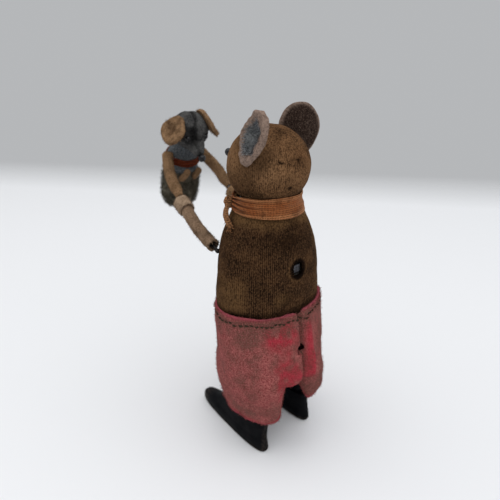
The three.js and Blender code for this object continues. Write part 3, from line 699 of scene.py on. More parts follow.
def torso():
    columns = 260
    rows = fine_rows(SKIN, 0.3)
    points = []
    for z, a, b in rows:
        for t in circle(columns):
            points.append((a * cos(t - pi / 2), b * sin(t - pi / 2), z))
    obj = mesh_piece("velvet_body", points, tube_faces(len(rows), columns))

    def shape(p, n):
        away = smooth(50, 53, p.z)
        return p + n * away * (0.28 * lumps(p, 7) + 0.1 * lumps(p, 2.2, 5))

    sculpt(obj, shape)
    key = middle_of("winding_arbor")
    cut_hole(obj, lambda t: 1.6 + 0.4 * abs(sin(t)) + 0.08 * sin(5 * t), (key.x, key.z), (0, 2), 1)
    shaft = middle_of("arm_shaft")
    for _, side in SIDES:
        cut_hole(obj, lambda t: 1.45 + 0.35 * sin(3 * t + side) + 0.2 * sin(7 * t),
                 (SHAFT_Y, shaft.z), (1, 2), side)
    thicken(obj, 0.75)
    lay(obj, round_body)

    def wear_and_highlight(p):
        around = atan2(p.x, p.y)
        collar = smooth(73.5, 76.5, p.z) * 0.8
        seat = bell(around - 0.42, 0.22) * bell(p.z - 54.5, 2.4) * 0.9
        left_low = smooth(0.8, 1.3, around) * (1 - smooth(58, 66, p.z)) * 0.7
        right = smooth(-0.45, -0.9, around) * 0.65
        ring = bell(hypot(p.x - key.x, p.z - key.z) - 3.3, 0.7) * 0.35 if p.y > 0 else 0
        return collar + seat + left_low + right + ring + 0.35 * lumps(p, 7, 3) - 0.15

    def dirt_and_shade(p):
        around = atan2(p.x, p.y)
        keyhole = 1 - smooth(2.3, 3.1, hypot(p.x - key.x, (p.z - key.z) * 0.85)) if p.y > 0 else 0
        waist = (1 - smooth(WAIST_Z + 0.3, WAIST_Z + 2.2, p.z)) * 0.6
        shaft_hole = 1 - smooth(1.6, 2.8, hypot(p.y - SHAFT_Y, p.z - shaft.z))
        shoulders = bell(p.z - 71.5, 3.0) * bell(around - 0.25, 0.5) * 0.6
        return keyhole + waist + shaft_hole * 0.8 + shoulders + 0.4 * smooth(0.1, 0.6, lumps(p, 6, 9))

    paint(obj, "wear_and_highlight", wear_and_highlight)
    paint(obj, "dirt_and_shade", dirt_and_shade)
    finish_piece(obj, "mother", "velvet", "body_velvet")


# ------------------------------------------------------------------ trousers

SEAT = [
    (26, 16.6, 13.2, 1.8, 0), (28, 17.5, 14.0, 1.9, 0), (34, 17.8, 14.4, 1.6, 0),
    (42, 17.7, 14.0, 0.8, 0), (WAIST_Z + 1.5, 17.4, 13.4, 0.2, 0),
]
LEG = [(10, 6.5, 12.2, 0, 7.3), (13, 6.7, 12.5, 0.1, 7.4), (20, 7.9, 13.2, 1.0, 8.3),
       (26, 8.5, 13.6, 1.5, 8.8), (33, 8.0, 12.4, 1.2, 8.8)]
HEM_Z = 12.4
STITCH_Z = 47.9
OUTER_X, OUTER_Y = -0.795, 0.607
TAIL = (0.15, 37.8)


def seam_x(z):
    """Where the rear seam runs, from the waist to the top of the arch."""
    return -1.5 + 0.062 * (z - 26) + 0.25 * sin((z - 27) / 5.0)


def hem(p):
    """The height of the hem: the right leg is cut short and slopes up to the arch."""
    if p.x > 0:
        return HEM_Z
    return 14.4 + 10.6 * smooth(-7.0, -1.2, p.x)


def mirrored(sections, side):
    return [(z, a, b, y, side * x) for z, a, b, y, x in sections]


def trousers():
    solids = [oval_solid("seat", fine_rows(SEAT, 1.0))]
    solids += [oval_solid("leg", fine_rows(mirrored(LEG, side), 1.0)) for _, side in SIDES]
    obj = moulded("felt_trousers", solids, 0.42, 6)
    cut_levels(obj, (WAIST_Z, True), (HEM_Z, False))

    def shape(p, n):
        q = p + n * (0.35 * lumps(p, 8, 2) + 0.14 * lumps(p, 2.5, 4))
        rear = smooth(2, 9, p.y)
        d = p.x - seam_x(p.z)
        below_waist = 1 - smooth(46.5, 49.5, p.z)
        q += n * rear * (-1.3 * bell(d, 0.5) - 0.3 * bell(d, 1.5))
        lobe = 1.5 * bell(d + 2.3 + 0.06 * (45 - p.z), 1.8) * smooth(23.5, 29, p.z)
        q += n * rear * below_waist * (lobe + 0.55 * bell(d - 3.6, 2.6))
        top = smooth(47.2, 49.6, p.z)
        q += n * (-0.3 * bell(p.z - STITCH_Z, 0.5) - 0.1 * top)
        waist = 0.25 * lumps(p, 7, 8) + 0.12 * lumps(p, 1.6, 1) - rear * 1.3 * bell(d, 1.2)
        q.z += smooth(47, 50, p.z) * waist
        share = 1 - smooth(HEM_Z, 27, p.z)
        if p.x < 0:
            q.z += (hem(p) - HEM_Z) * max(0.0, 1 - (p.z - HEM_Z) / (27 - HEM_Z))
        edge = 1 - smooth(HEM_Z, 17, p.z)
        q.z += edge * (0.4 * lumps(p, 6, 3) + 0.15 * lumps(p, 1.2, 7))
        q += n * (edge * 0.35 * lumps(p, 3.4, 11) + share * 0.15 * lumps(p, 5, 13))
        outer = smooth(12, 17, OUTER_Y * p.y + OUTER_X * p.x)
        q += Vector((OUTER_X, OUTER_Y, 0)) * outer * (1.2 * bell(p.z - 16, 4) - 0.9 * bell(p.z - 29, 6))
        return q

    sculpt(obj, shape)
    cut_hole(obj, lambda t: 1.5 + 0.3 * sin(t + 0.6), TAIL, (0, 2), 1)
    modify(obj, "SMOOTH", factor=0.4, iterations=1)
    thicken(obj, 0.8)

    def wear_and_highlight(p):
        rear = smooth(0, 8, p.y)
        d = p.x - seam_x(p.z)
        lobe = bell(d + 2.3 + 0.5 * lumps(p, 5, 16), 1.9)
        lobe = lobe * smooth(23, 26, p.z) * (1 - smooth(45, 49, p.z)) * 1.15
        top = 1.35 * bell(d - 6.2, 4.2) * bell(p.z - 43.6, 4.4)
        mid = bell(d - 6.0, 3.6) * bell(p.z - 33, 4.4) * 0.85
        arch = bell(hypot(p.x - 4.2, p.z - 27.5), 4.6) * 1.1
        edge = (1 - smooth(0.6, 2.6, p.z - hem(p))) * 0.6
        patches = (top + mid + arch) * (1 + 1.4 * lumps(p, 2.2, 17))
        return rear * (lobe + patches) + edge + 0.3 * lumps(p, 5, 12) - 0.05

    def dirt_and_shade(p):
        waist = 0.5 * smooth(42, 47, p.z) * (1 - smooth(48.6, 49.4, p.z))
        belt = 0.6 * bell(p.z - STITCH_Z, 0.7)
        rear = smooth(2, 9, p.y)
        seam = rear * bell(p.x - seam_x(p.z), 0.45)
        spots = (0.95 * bell(hypot(p.x - 14.0, p.z - 17.3), 1.4)
                 + 0.8 * bell(hypot(p.x - 14.8, p.z - 43), 2.2)
                 + 0.6 * bell(hypot(p.x - 3.8, p.z - 36), 1.2))
        # Painted shade: darker over the right side, and darkest inside the right leg below the flap.
        right = smooth(-7, -11, p.x) * 0.45 + 0.9 * smooth(-2.5, -4.5, p.x) * (1 - smooth(19, 25, p.z))
        return waist + belt + 0.9 * seam + spots * smooth(-3, 3, p.y) + right * rear + 0.4 * lumps(p, 5, 15)

    paint(obj, "wear_and_highlight", wear_and_highlight)
    paint(obj, "dirt_and_shade", dirt_and_shade)
    paint(obj, "edge", lambda p: 0.65 * smooth(49.4, 49.9, p.z) + (1 - smooth(0.1, 0.7, p.z - hem(p))) * 0.7)
    finish_piece(obj, "mother", "trouser_felt", "trousers")


def waist_stitches():
    """A run of dark thread two millimetres under the waist edge, in stitches of uneven length."""
    rng = random.Random(4)
    cloth = BVHTree.FromObject(bpy.data.objects["felt_trousers"], bpy.context.evaluated_depsgraph_get())
    stitches = []

    def thread_radius(u):
        return 0.27 * sin(pi * min(max(u, 0.12), 0.88))

    t = 0.0
    while t < 2 * pi:
        length = rng.uniform(0.06, 0.10)
        z = STITCH_Z + rng.uniform(-0.45, 0.45)
        path = []
        for i in range(7):
            s = t + length * i / 6
            outward = Vector((cos(s), sin(s), 0))
            start = place(outward * 30 + Vector((0, 0, z + rng.uniform(-0.08, 0.08))))
            hit = (cloth.ray_cast(start, -outward)[0] - AXIS) / MM
            path.append(hit + outward * (0.22 * sin(pi * i / 6) - 0.06))
        stitches.append(sweep("stitch", path, thread_radius, 7))
        t += length + rng.uniform(0.008, 0.03)
    obj = joined("waist_stitching", stitches)
    paint(obj, "dirt_and_shade", lambda p: 0.3)
    paint(obj, "wear_and_highlight", lambda p: 0.2)
    finish_piece(obj, "mother", "velvet", look="thread")


def trouser_nap():
    """The loose fibres of the trousers: at the waist, at the hem and over the outside."""
    cloth = bpy.data.objects["felt_trousers"]
    rows = (
        ("waist_nap", 2600, (0.3, 0.7), 0.8, lambda p, n: p.z > 49.2),
        ("hem_nap", 1800, (0.3, 0.7), 0.8, lambda p, n: p.z - hem(p) < 0.8),
        ("trouser_nap", 6000, (0.25, 0.6), 1.0, lambda p, n: n.dot(Vector((p.x, p.y, 0))) > 0),
    )
    loose = [nap(name, cloth, "mother", "trouser_felt", "trouser_nap", count, lengths, lean, where)
             for name, count, lengths, lean, where in rows]


# ------------------------------------------------------------------ feet and legs

FOOT = [
    (0, 2.75, 16.9, -7.1, 9.3), (0.35, 3.1, 17.35, -7.1, 9.3), (1.2, 3.3, 17.5, -7.1, 9.3),
    (2.8, 3.25, 17.2, -7.0, 9.3), (4.0, 3.05, 16.3, -6.3, 9.3), (4.7, 2.9, 15.2, -5.3, 9.25),
    (6, 2.8, 13.2, -3.4, 9.2), (8, 2.75, 11.5, -1.8, 9.0), (11.4, 2.7, 9.5, 0.3, 8.8),
]


RIGHT_STEP = Vector((-1.2, -1.7))


def feet():
    def shape(p, n):
        dents = 0.1 * lumps(p, 6, side) - 0.12 * bell(p.z - 1.9, 0.16)
        return p + n * dents * smooth(0.1, 0.8, p.z)

    def wear_and_highlight(p):
        return bell(p.z - 0.6, 0.6) + smooth(-17, -23, p.y) * 0.7 + smooth(9, 10.2, p.y) * 0.5

    for name, side in SIDES:
        step = Vector((0, 0)) if side > 0 else RIGHT_STEP
        rows = fine_rows(mirrored(FOOT, side), 0.3)
        sections = [(z, a, b, y + step.y, x + step.x) for z, a, b, y, x in rows]
        obj = oval_solid(f"{name}_painted_foot", sections, 96, 2.7)
        sculpt(obj, shape)
        paint(obj, "wear_and_highlight", wear_and_highlight)
        finish_piece(obj, "mother", "black_paint", f"{name}_foot")


# ------------------------------------------------------------------ head

HEAD = Vector((0, 0.3, 89.4))
HEAD_CUT_Z = 81.6


def head():
    solids = [globe("skull", HEAD, (11.4, 11.4, 11.0), 72, 48)]
    tip = middle_of("nose") + Vector((0, 1.6, 0.7))
    path = [HEAD.lerp(tip, i / 16) for i in range(17)]
    solids.append(sweep("snout", path, lambda u: 7.4 * (1 - u) ** 0.8 + 1.9, 40))
    obj = moulded("velvet_head", solids, 0.42, 10)
    cut_levels(obj, (HEAD_CUT_Z, False))

    def shape(p, n):
        crown = -0.3 * bell(p.x + 2.0, 0.5) * smooth(94, 97, p.z)
        return p + n * (0.22 * lumps(p, 6, 21) + 0.08 * lumps(p, 1.8, 23) + crown * 0.4)

    sculpt(obj, shape)
    thicken(obj, 0.75)
    lay(obj, lambda p: round_body(p, 11.0, 0, 0.3))

    def wear_and_highlight(p):
        left = smooth(2, 9, p.x) * smooth(84, 90, p.z) * 0.6
        return 0.3 + left + 0.3 * lumps(p, 7, 31)

    def dirt_and_shade(p):
        line = bell(p.z - 92.3 - 0.05 * p.x, 0.45) * smooth(-2.5, -0.5, p.x) * (1 - smooth(5.5, 7.5, p.x))
        marks = line * smooth(-0.05, 0.2, lumps(p, 1.3, 40)) * 1.8
        marks += 1.0 * bell(p.z - 85.6, 0.5) * bell(p.x - 1.6, 0.7)
        # Painted shade at the bottom of the head, just above the ribbon.
        under = (1 - smooth(82, 85.5, p.z)) * 0.5
        brown = 0.5 * smooth(0.0, 0.5, lumps(p, 6.5, 44))
        # Darker on the lower right side of the head.
        right = smooth(3, 9, -p.x) * (1 - smooth(84, 88, p.z)) * 0.4
        return marks * smooth(0, 4, p.y) + under + brown + right

    paint(obj, "wear_and_highlight", wear_and_highlight)
    paint(obj, "dirt_and_shade", dirt_and_shade)
    finish_piece(obj, "mother", "head_velvet", "head_velvet")


def ear_sheet(name, outline, dish, thickness, matrix, rows=26, columns=96):
    """A cupped flap: outline(t) is its radius at an angle, dish how far its middle is pushed back."""
    points = [matrix @ Vector((0, dish(0, 0), 0))]
    for r in range(1, rows + 1):
        u = r / rows
        for t in circle(columns):
            reach = outline(t) * u
            x, z = reach * cos(t), reach * sin(t)
            points.append(matrix @ Vector((x, dish(u, t), z)))
    faces = [(0, 1 + (c + 1) % columns, 1 + c) for c in range(columns)]
    faces += [tuple(i + 1 for i in face) for face in tube_faces(rows, columns)]
    obj = mesh_piece(name, points, faces)
    modify(obj, "SOLIDIFY", thickness=thickness * MM, offset=0.0, use_even_offset=False)
    modify(obj, "BEVEL", width=thickness * 0.4 * MM, segments=3, limit_method="ANGLE")
    return obj


def oval(a, b, pinch):
    """An oval outline, narrower at the bottom by pinch."""
    def radius(t):
        low = max(0.0, -sin(t))
        a_here = a * (1 - pinch * low**2)
        return a_here * b / hypot(b * cos(t), a_here * sin(t))
    return radius


def squared(a, b):
    """An oval outline with fuller corners."""
    def radius(t):
        u, v = abs(cos(t) / a), abs(sin(t) / b)
        return (u**2.7 + v**2.7) ** (-1 / 2.7) * (1 + 0.03 * sin(3 * t + 1))
    return radius


def spun(at, tilt, turn, nod):
    return (Matrix.Translation(at) @ Matrix.Rotation(turn, 4, "Z") @ Matrix.Rotation(tilt, 4, "Y")
            @ Matrix.Rotation(nod, 4, "X"))


def ears():
    def cup(u, t):
        return 0.9 * (1 - u * u)

    place_right = spun((-12.5, -1.3, 97.8), 0.16, -0.24, -0.03)
    right = ear_sheet("right_ear_flap", oval(6.45, 7.3, 0.2), cup, 1.2, place_right)
    sculpt(right, lambda p, n: p + n * 0.18 * lumps(p, 2.6, 50))
    flat = place_right.inverted()

    def rim(p):
        q = flat @ p
        return smooth(0.84, 0.98, hypot(q.x / 6.45, q.z / 7.3))

    paint(right, "wear_and_highlight", lambda p: 0.55 * rim(p))
    paint(right, "dirt_and_shade", lambda p: 1.35 - 1.1 * rim(p) + 0.3 * lumps(p, 3, 52))
    finish_piece(right, "mother", "ear_felt", "right_ear")

    place_left = spun((9.1, 4.9, 98.1), 0.17, 1.45, -0.32)
    left = ear_sheet("left_ear_flap", oval(4.7, 6.8, 0.25), cup, 1.5, place_left)
    sculpt(left, lambda p, n: p + n * (0.3 * lumps(p, 3.2, 54) + 0.35 * lumps(p, 1.4, 55)))
    back = place_left.inverted()

    def lining(p):
        q = back @ p
        return 1 - smooth(0.5, 0.74, hypot(q.x / 4.5, q.z / 7.1) + 0.2 * lumps(p, 1.4, 58))

    paint(left, "lining", lining)
    paint(left, "wear_and_highlight", lambda p: 0.75 + 0.4 * lumps(p, 2.2, 56))
    paint(left, "dirt_and_shade", lambda p: 0.25 * smooth(0.0, 0.5, lumps(p, 2.2, 57)))
    finish_piece(left, "mother", "ear_felt", "left_ear")
    nap("left_ear_hair", left, "mother", "ear_felt", "ear_hair", 900, (0.8, 1.9), 1.2,
        lambda p, n: lining(p) > 0.5 and n.dot(back.inverted().to_3x3() @ Vector((0, -1, 0))) > 0.5)


def beads():
    for name, body in (("left_eye", "mother"), ("right_eye", "mother"), ("nose", "mother"),
                       ("young_left_eye", "young"), ("young_right_eye", "young"), ("young_nose", "young")):
        low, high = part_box(name)
        radius = (high.x - low.x) / 2 / MM
        centre = middle_of(name)
        if name in ("left_eye", "right_eye"):
            radius *= 0.85
            centre = centre.lerp(HEAD, 0.03)
        if name in ("young_left_eye", "young_right_eye"):
            centre = centre.lerp(YOUNG_HEAD, 0.14)
        if name == "young_nose":
            radius *= 1.15
        obj = globe(f"{name}_bead", centre, (radius,) * 3, 28, 18)
        sculpt(obj, lambda p, n: p + n * 0.05 * lumps(p, 0.9, 60))
        paint(obj, "wear_and_highlight", lambda p: 0.0)
        finish_piece(obj, body, "bead", name)


# ------------------------------------------------------------------ neck ribbon

KNOT = Vector((9.2, -5.8, 79.6))


def neck_band():
    columns, rows = 360, 26
    knot_angle = atan2(KNOT.y, KNOT.x)
    points = []
    for r in range(rows + 1):
        v = r / rows
        for t in circle(columns):
            near = abs((t - knot_angle + pi) % (2 * pi) - pi)
            gather = exp(-near / 0.5)
            low = 77.3 + 1.3 * gather + 0.15 * sin(3 * t)
            high = 82.7 - 1.5 * gather + 0.1 * sin(5 * t + 1)
            z = low + (high - low) * v
            pleats = 0.5 * exp(-near / 0.9) * sin(7.0 * pi * v + 0.5 * sin(4 * t))
            neck = curve_through(SKIN, min(z, 81.2))[0] + 0.55
            fold = 0.12 * sin(3.3 * pi * v + 1.5 * sin(2 * t))
            radius = neck + pleats + fold + 0.07 * lumps((10 * cos(t), 10 * sin(t), z), 1.2, 70)
            points.append((radius * cos(t), radius * sin(t), z))
    obj = mesh_piece("gauze_band", points, tube_faces(rows + 1, columns))
    thicken(obj, 0.28)
    lay(obj, lambda p: round_body(p, 10.3))

    def wear_and_highlight(p):
        right = smooth(0.15, 1.1, atan2(-p.x, p.y))
        edges = smooth(81.2, 82.0, p.z) + (1 - smooth(77.9, 78.6, p.z))
        return 0.15 + right * 0.7 + edges * 0.4

    def dirt_and_shade(p):
        near = abs((atan2(p.y, p.x) - knot_angle + pi) % (2 * pi) - pi)
        gather = exp(-near / 0.5)
        v = (p.z - 77.3 - 1.3 * gather) / (5.4 - 2.8 * gather)
        # Painted shade in the valleys of the pleats, strongest beside the knot.
        pleat_shade = 0.5 - 0.5 * sin(7.0 * pi * v + 0.5 * sin(4 * atan2(p.y, p.x)))
        return 1.3 * exp(-near / 0.7) * pleat_shade**2 + 0.3 * smooth(0.1, 0.6, lumps(p, 2.5, 72))

    paint(obj, "wear_and_highlight", wear_and_highlight)
    paint(obj, "dirt_and_shade", dirt_and_shade)
    finish_piece(obj, "mother", "ribbon", "neck_ribbon")


def ribbon_knot():
    """Turns of twisted ribbon around each other and two frayed tails."""
    parts = []
    turns = ((0.35, 0.3, 1.5), (-0.45, 1.0, 1.55), (1.2, 2.1, 1.2), (0.9, 0.2, 1.3), (-1.1, 2.7, 1.15))
    for tilt, turn, r in turns:
        spin = Matrix.Rotation(turn, 3, "Z") @ Matrix.Rotation(tilt + pi / 2, 3, "X")
        for strand in (-0.32, 0.32):
            path = []
            for i in range(41):
                t = 2 * pi * i / 40
                twist = 6 * t
                out = r * 0.72 + strand * cos(twist)
                ring = Vector((out * cos(t), r / 1.1 * sin(t), strand * sin(twist)))
                path.append(KNOT + spin @ ring)
            parts.append(sweep("turn", path, 0.36, 10))
    rng = random.Random(11)
    for end, width in (((12.2, -1.1, 74.2), 0.6), ((11.9, -2.7, 74.9), 0.45)):
        end = Vector(end)
        for strand in range(5):
            lean = 2 * pi * strand / 5
            path = []
            for i in range(15):
                u = i / 14
                around = Vector((cos(lean + 5 * u), sin(lean + 5 * u), 0))
                around = around * width * (0.35 + 0.75 * u)
                bow = Vector((0.9, -0.35, 0)) * sin(pi * u)
                path.append(KNOT.lerp(end, u) + around + bow)
            parts.append(sweep("strand", path, 0.27, 8))
        for _ in range(22):
            start = end + Vector([rng.uniform(-width, width) for _ in range(3)])
            drop = Vector((rng.uniform(-1.1, 1.0), rng.uniform(-0.8, 1.1), rng.uniform(-1.6, -0.3)))
            bend = Vector((rng.uniform(-0.5, 0.5), rng.uniform(-0.3, 0.3), 0.2))
            path = [start + drop * (i / 6) + bend * sin(pi * i / 6) for i in range(7)]
            parts.append(sweep("fray", path, lambda u: 0.11 * (1 - 0.6 * u), 6))
    obj = joined("tied_knot", parts)
    lay(obj, lambda p: (p.x + p.y, p.z))
    paint(obj, "wear_and_highlight", lambda p: 1.0 + 0.5 * lumps(p, 1.0, 76))
    paint(obj, "dirt_and_shade", lambda p: 0.25 + 0.6 * smooth(0.1, 0.5, lumps(p, 0.8, 75)))
    finish_piece(obj, "mother", "ribbon", "ribbon_knot")


# ------------------------------------------------------------------ the big mouse's arms

SHAFT_Y = -7.9
HAND = Vector((10.2, -30.6, 73.2))
SHOULDER = Vector((12.3, -7.9, 64.8))
WIRE_R = 0.5


def felt_tube(name, path, outer, wall, ragged):
    """An open felt tube along a path, with uneven ends."""
    obj = sweep(name, path, outer, 56, False)
    start, finish = Vector(path[0]), Vector(path[-1])
    along = (finish - start).normalized()
    length = (finish - start).length

    def shape(p, n):
        u = (p - start).dot(along) / length
        q = p + n * (0.16 * lumps(p, 2.6, 80) + 0.06 * lumps(p, 0.9, 81))
        tear = (1 - smooth(0.0, 0.12, u)) * ragged[0] + smooth(0.88, 1.0, u) * ragged[1]
        return q + along * tear * lumps(p, 0.8, 82)

    sculpt(obj, shape)
    thicken(obj, wall)
    return obj


def bent(a, b, bow, count):
    """Points from a to b on a shallow bow."""
    a, b, bow = Vector(a), Vector(b), Vector(bow)
    return [a.lerp(b, i / count) + bow * sin(pi * i / count) for i in range(count + 1)]


def arms():
    for name, side in SIDES:
        def flip(v):
            return Vector((v.x * side, v.y, v.z))

        shoulder, hand = flip(SHOULDER), flip(HAND)
        along = (hand - shoulder).normalized()
        start = shoulder + along * 2.7
        end = hand - along * 2.6
        bow = Vector((0.35 * side, -0.2, -0.5))
        obj = felt_tube(f"{name}_arm_felt", bent(start, end, bow, 40), 1.95, 0.7, (0.9, 0.2))
        paint(obj, "wear_and_highlight", lambda p: 0.35 + 0.5 * lumps(p, 3, 85))
        paint(obj, "dirt_and_shade", lambda p: 0.45 * smooth(0.0, 0.5, lumps(p, 3.5, 86)) + 0.6 * spot(p, start, 1.6))
        finish_piece(obj, "arms", "sleeve_felt", f"{name}_sleeve")
        nap(f"{name}_sleeve_nap", obj, "arms", "sleeve_felt", "cuff_felt", 1100, (0.25, 0.6), 1.0)

        path = bent(hand - along * 3.5, hand + along * 1.2, (0, 0, 0.1), 24)
        cuff = felt_tube(f"{name}_hand_felt", path, 2.6, 0.6, (0.45, 0.3))
        paint(cuff, "wear_and_highlight", lambda p: 0.7 + 0.4 * lumps(p, 2, 87))
        paint(cuff, "dirt_and_shade", lambda p: 0.8 * (1 - smooth(0.3, 0.9, (p - hand + along * 3.4).dot(along))))
        cloth = "cuff_felt" if side > 0 else "tan_felt"
        finish_piece(cuff, "arms", "tan_felt", f"{name}_cuff", look=cloth)
        nap(f"{name}_cuff_nap", cuff, "arms", "tan_felt", cloth, 900, (0.25, 0.6), 1.0)

        inner = flip(Vector((8.8, SHAFT_Y, 64.8)))
        knee = shoulder + Vector((0.25 * side, 0.2, 0.0))
        hook = [
            inner,
            shoulder - Vector((1.4 * side, 0, 0)),
            shoulder - Vector((0.4 * side, 0.1, -0.2)),
            knee,
            shoulder + along * 1.2 + Vector((0.1 * side, 0, 0.2)),
            shoulder + along * 2.6,
            hand - along * 3,
        ]
        obj = sweep(f"{name}_arm_rod", smooth_path(hook, 60), WIRE_R, 14)
        sculpt(obj, lambda p, n: p + n * 0.05 * lumps(p, 0.6, 90))
        finish_piece(obj, "arms", "steel", f"{name}_arm_wire", look="dark_wire")


def smooth_path(points, count):
    """Points evenly spread on a smooth curve through a few points."""
    rows = [(float(i), *p) for i, p in enumerate(points)]
    return [Vector(curve_through(rows, (len(points) - 1) * i / count)) for i in range(count + 1)]


# ------------------------------------------------------------------ the young mouse

YOUNG_HEAD = Vector((0, -40.6, 94.2))
YOUNG_NOSE = Vector((0, -34.5, 86.9))
YOUNG_SHOULDER = Vector((6.7, -44, 85.3))
YOUNG_BODY = [
    (66.2, 1.6, 1.6, -51.6, 0), (67.2, 4.2, 3.8, -51.4, 0), (71, 6.2, 5.6, -50.8, 0),
    (75, 6.5, 5.9, -49.8, 0), (80, 6.3, 5.7, -48.6, 0), (84.2, 6.2, 5.7, -47.8, 0),
    (88, 4.9, 4.8, -45.8, 0), (90.4, 3.4, 3.4, -43.6, 0),
]


def young_head():
    path = [YOUNG_HEAD.lerp(YOUNG_NOSE, i / 14) for i in range(15)]
    solids = [globe("skull", YOUNG_HEAD + Vector((0, 0.2, 0.3)), (6.3, 6.2, 6.2)),
              sweep("snout", path, lambda u: 4.1 * (1 - u) + 1.3, 32)]
    obj = moulded("young_felt_head", solids, 0.3, 6)

    def fold_x(p):
        return 0.2 + 1.7 * smooth(99.5, 94, p.z) - 1.4 * smooth(92, 87, p.z)

    def shape(p, n):
        d = p - YOUNG_HEAD
        front = smooth(-1, 3, d.y)
        seam = -0.85 * bell(p.x - fold_x(p), 0.42) * front
        crown = -0.35 * bell(p.x + 0.4, 0.35) * (1 - front) * smooth(0, 3, d.z)
        brow = 0.45 * bell(p.x - fold_x(p) - 1.5, 0.9) * front * smooth(95, 98, p.z)
        socket = -0.7 * spot(p, (4.2, -35.6, 93.4), 1.9)
        other_socket = -0.7 * spot(p, (-3.6, -35.4, 93.4), 1.9)
        cheek = 0.35 * spot(p, (2.6, -36.5, 89.0), 1.6)
        rough = 0.22 * lumps(p, 2.6, 100) + 0.1 * lumps(p, 1.0, 101)
        return p + n * (seam + crown + brow + socket + other_socket + cheek + rough)

    sculpt(obj, shape)

    def wear_and_highlight(p):
        # A painted highlight streak beside the top of the fold, and a lighter patch across the fold.
        highlight_streak = spot(p, (2.6, -38.6, 99.6), 1.8) + spot(p, (-2.4, -35.6, 96.0), 2.4)
        snout = spot(p, (1.6, -35.6, 88.2), 2.4)
        return 0.05 + 0.8 * highlight_streak + 0.7 * snout + 0.5 * lumps(p, 2.5, 102)

    def dirt_and_shade(p):
        front = smooth(-1, 3, p.y - YOUNG_HEAD.y)
        # Painted shade in the eye hollow between brow and snout.
        eye_hollow_shade = spot(p, (3.7, -35.4, 93.2), 2.6)
        side = smooth(2.5, 5, -p.x) * smooth(90, 93, p.z)
        # Painted shade in the eye hollow and along the fold, then darker high on the -X side, and blotches.
        return 1.7 * eye_hollow_shade + 1.2 * bell(p.x - fold_x(p), 0.8) * front + 0.9 * side + 0.4 * lumps(p, 2.5, 103)

    paint(obj, "wear_and_highlight", wear_and_highlight)
    paint(obj, "dirt_and_shade", dirt_and_shade)
    finish_piece(obj, "young", "grey_felt", "young_head")


def young_ears():
    def cup(u, t):
        return -0.9 * (1 - u * u) + 0.3 * u * sin(2 * t)

    for name, at, tilt, turn, nod, a, b in (
        ("young_right_ear", (7.4, -38.4, 95.4), 0.5, -0.88, 0.69, 4.3, 4.7),
        ("young_left_ear", (-6.4, -38.6, 96.6), 0.0, 1.22, 0.605, 4.4, 5.2),
    ):
        matrix = spun(at, tilt, turn, nod)
        flap = ear_sheet(f"{name}_flap", squared(a, b), cup, 1.35, matrix, 18, 72)
        sculpt(flap, lambda p, n: p + n * 0.16 * lumps(p, 1.5, 110))
        paint(flap, "wear_and_highlight", lambda p: 0.6 + 1.0 * lumps(p, 1.6, 111))
        paint(flap, "dirt_and_shade", lambda p: 0.7 * smooth(0.0, 0.5, lumps(p, 2.0, 112)))
        finish_piece(flap, "young", "tan_felt", name)
        nap(f"{name}_nap", flap, "young", "tan_felt", "tan_felt", 900, (0.25, 0.55), 1.0)


def young_body():
    obj = moulded("young_stuffed_body", [oval_solid("body", fine_rows(YOUNG_BODY, 0.6), 56)], 0.35, 4)
    sculpt(obj, lambda p, n: p + n * (0.35 * lumps(p, 3.2, 120) + 0.15 * lumps(p, 1.2, 121)))
    paint(obj, "wear_and_highlight", lambda p: 0.3 + 0.5 * lumps(p, 3, 122))
    paint(obj, "dirt_and_shade", lambda p: 0.5 * lumps(p, 3, 123) + 0.3 * (1 - smooth(70, 76, p.z)))
    paint(obj, "lining", lambda p: smooth(79.2, 80.4, p.z + 0.6 * lumps(p, 2, 124)) * 0.85)
    finish_piece(obj, "young", "young_pile", "young_body")
    nap("young_fur", obj, "young", "young_pile", "young_pile", 3200, (0.7, 1.5), 0.7,
        lambda p, n: p.z < 80, 0.08)


def young_collar():
    points = []
    columns, rows = 120, 12
    for r in range(rows + 1):
        v = r / rows
        z = 84.3 + 2.4 * v
        for t in circle(columns):
            wave = 0.45 + 0.25 * sin(5 * pi * v) + 0.15 * sin(4 * t)
            height = z - 2.3 * sin(t) + 0.3 * sin(3 * t)
            a, b, y, _ = curve_through(YOUNG_BODY, height)
            points.append(((a + wave) * cos(t), y + (b + wave) * sin(t), height))
    obj = mesh_piece("young_collar", points, tube_faces(rows + 1, columns))
    thicken(obj, 0.3)
    lay(obj, lambda p: round_body(p, 5, 0, -47))
    paint(obj, "wear_and_highlight", lambda p: 0.3 + 0.4 * lumps(p, 2, 130))
    paint(obj, "dirt_and_shade", lambda p: 0.3)
    finish_piece(obj, "young", "rust_ribbon", "young_ribbon")


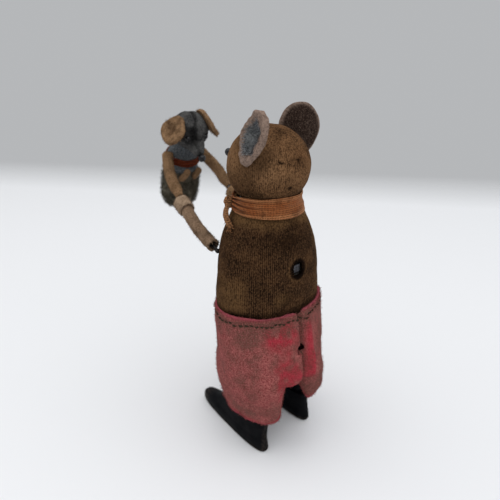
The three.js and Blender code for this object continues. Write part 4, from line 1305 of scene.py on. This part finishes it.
def young_arms():
    for name, side in SIDES:
        other = "right" if side > 0 else "left"
        hand = Vector((HAND.x * side, HAND.y, HAND.z))
        shoulder = Vector((YOUNG_SHOULDER.x * side, YOUNG_SHOULDER.y, YOUNG_SHOULDER.z))
        along = (shoulder - hand).normalized()
        end = shoulder + along * (1.8 if side > 0 else 0.7)
        path = bent(hand + along * 2.9, end, (1.0 * side, -0.75, 0.3), 34)
        obj = felt_tube(f"young_{other}_arm_felt", path, lambda u: 1.25 + 0.6 * smooth(0, 0.2, u),
                        0.5, (0.2, 0.3))
        paint(obj, "wear_and_highlight", lambda p: 0.45 + 0.6 * lumps(p, 2.6, 140))
        paint(obj, "dirt_and_shade", lambda p: 0.4 * smooth(0.1, 0.5, lumps(p, 2.4, 141)))
        finish_piece(obj, "young_arms", "tan_felt", f"young_{other}_sleeve")
        nap(f"young_{other}_sleeve_nap", obj, "young_arms", "tan_felt", "tan_felt", 800, (0.25, 0.55), 1.0,
            lambda p, n: (p - hand).dot(along) > 5 and (p - shoulder).dot(along) < -0.8)


def young_legs():
    for other, side in (("right", 1), ("left", -1)):
        hip = Vector((side * 2.4, -45, 77.5))
        toe = Vector((side * 2.2, -39.6, 81.2))
        path = bent(hip, toe, (0, 0.2, -0.4), 20)
        obj = sweep(f"young_{other}_leg_felt", path,
                    lambda u: 1.25 - 0.35 * u + 0.15 * bell(u - 0.85, 0.15), 28)
        modify(obj, "BEVEL", width=0.3 * MM, segments=3, limit_method="ANGLE")
        sculpt(obj, lambda p, n: p + n * 0.1 * lumps(p, 1.2, 150))
        paint(obj, "wear_and_highlight", lambda p: 0.5)
        paint(obj, "dirt_and_shade", lambda p: 0.3)
        finish_piece(obj, "young", "tan_felt", f"young_{other}_leg")


# ------------------------------------------------------------------ metal parts kept from the frame


def frame_finishes():
    """The pressed, stamped and turned parts keep their shapes and get their slots' finishes."""
    for entry in frame["record"]["subparts"]:
        node = frame["nodes"][entry["node"]]
        if node.hide_render:
            continue
        finish = entry["material_slot"]
        if entry["node"] in ("left_leg", "right_leg"):
            finish = "black_paint"
        if entry["node"] == "winding_arbor":
            finish = "dark_steel"
        node.data.materials.clear()
        node.data.materials.append(MATERIALS[finish])


camera()
studio()
table()
MATERIALS = materials()
for make in (torso, trousers, waist_stitches, trouser_nap, feet, head, ears, beads, neck_band,
             ribbon_knot, arms, young_head, young_ears, young_body, young_collar, young_arms,
             young_legs, frame_finishes):
    make()
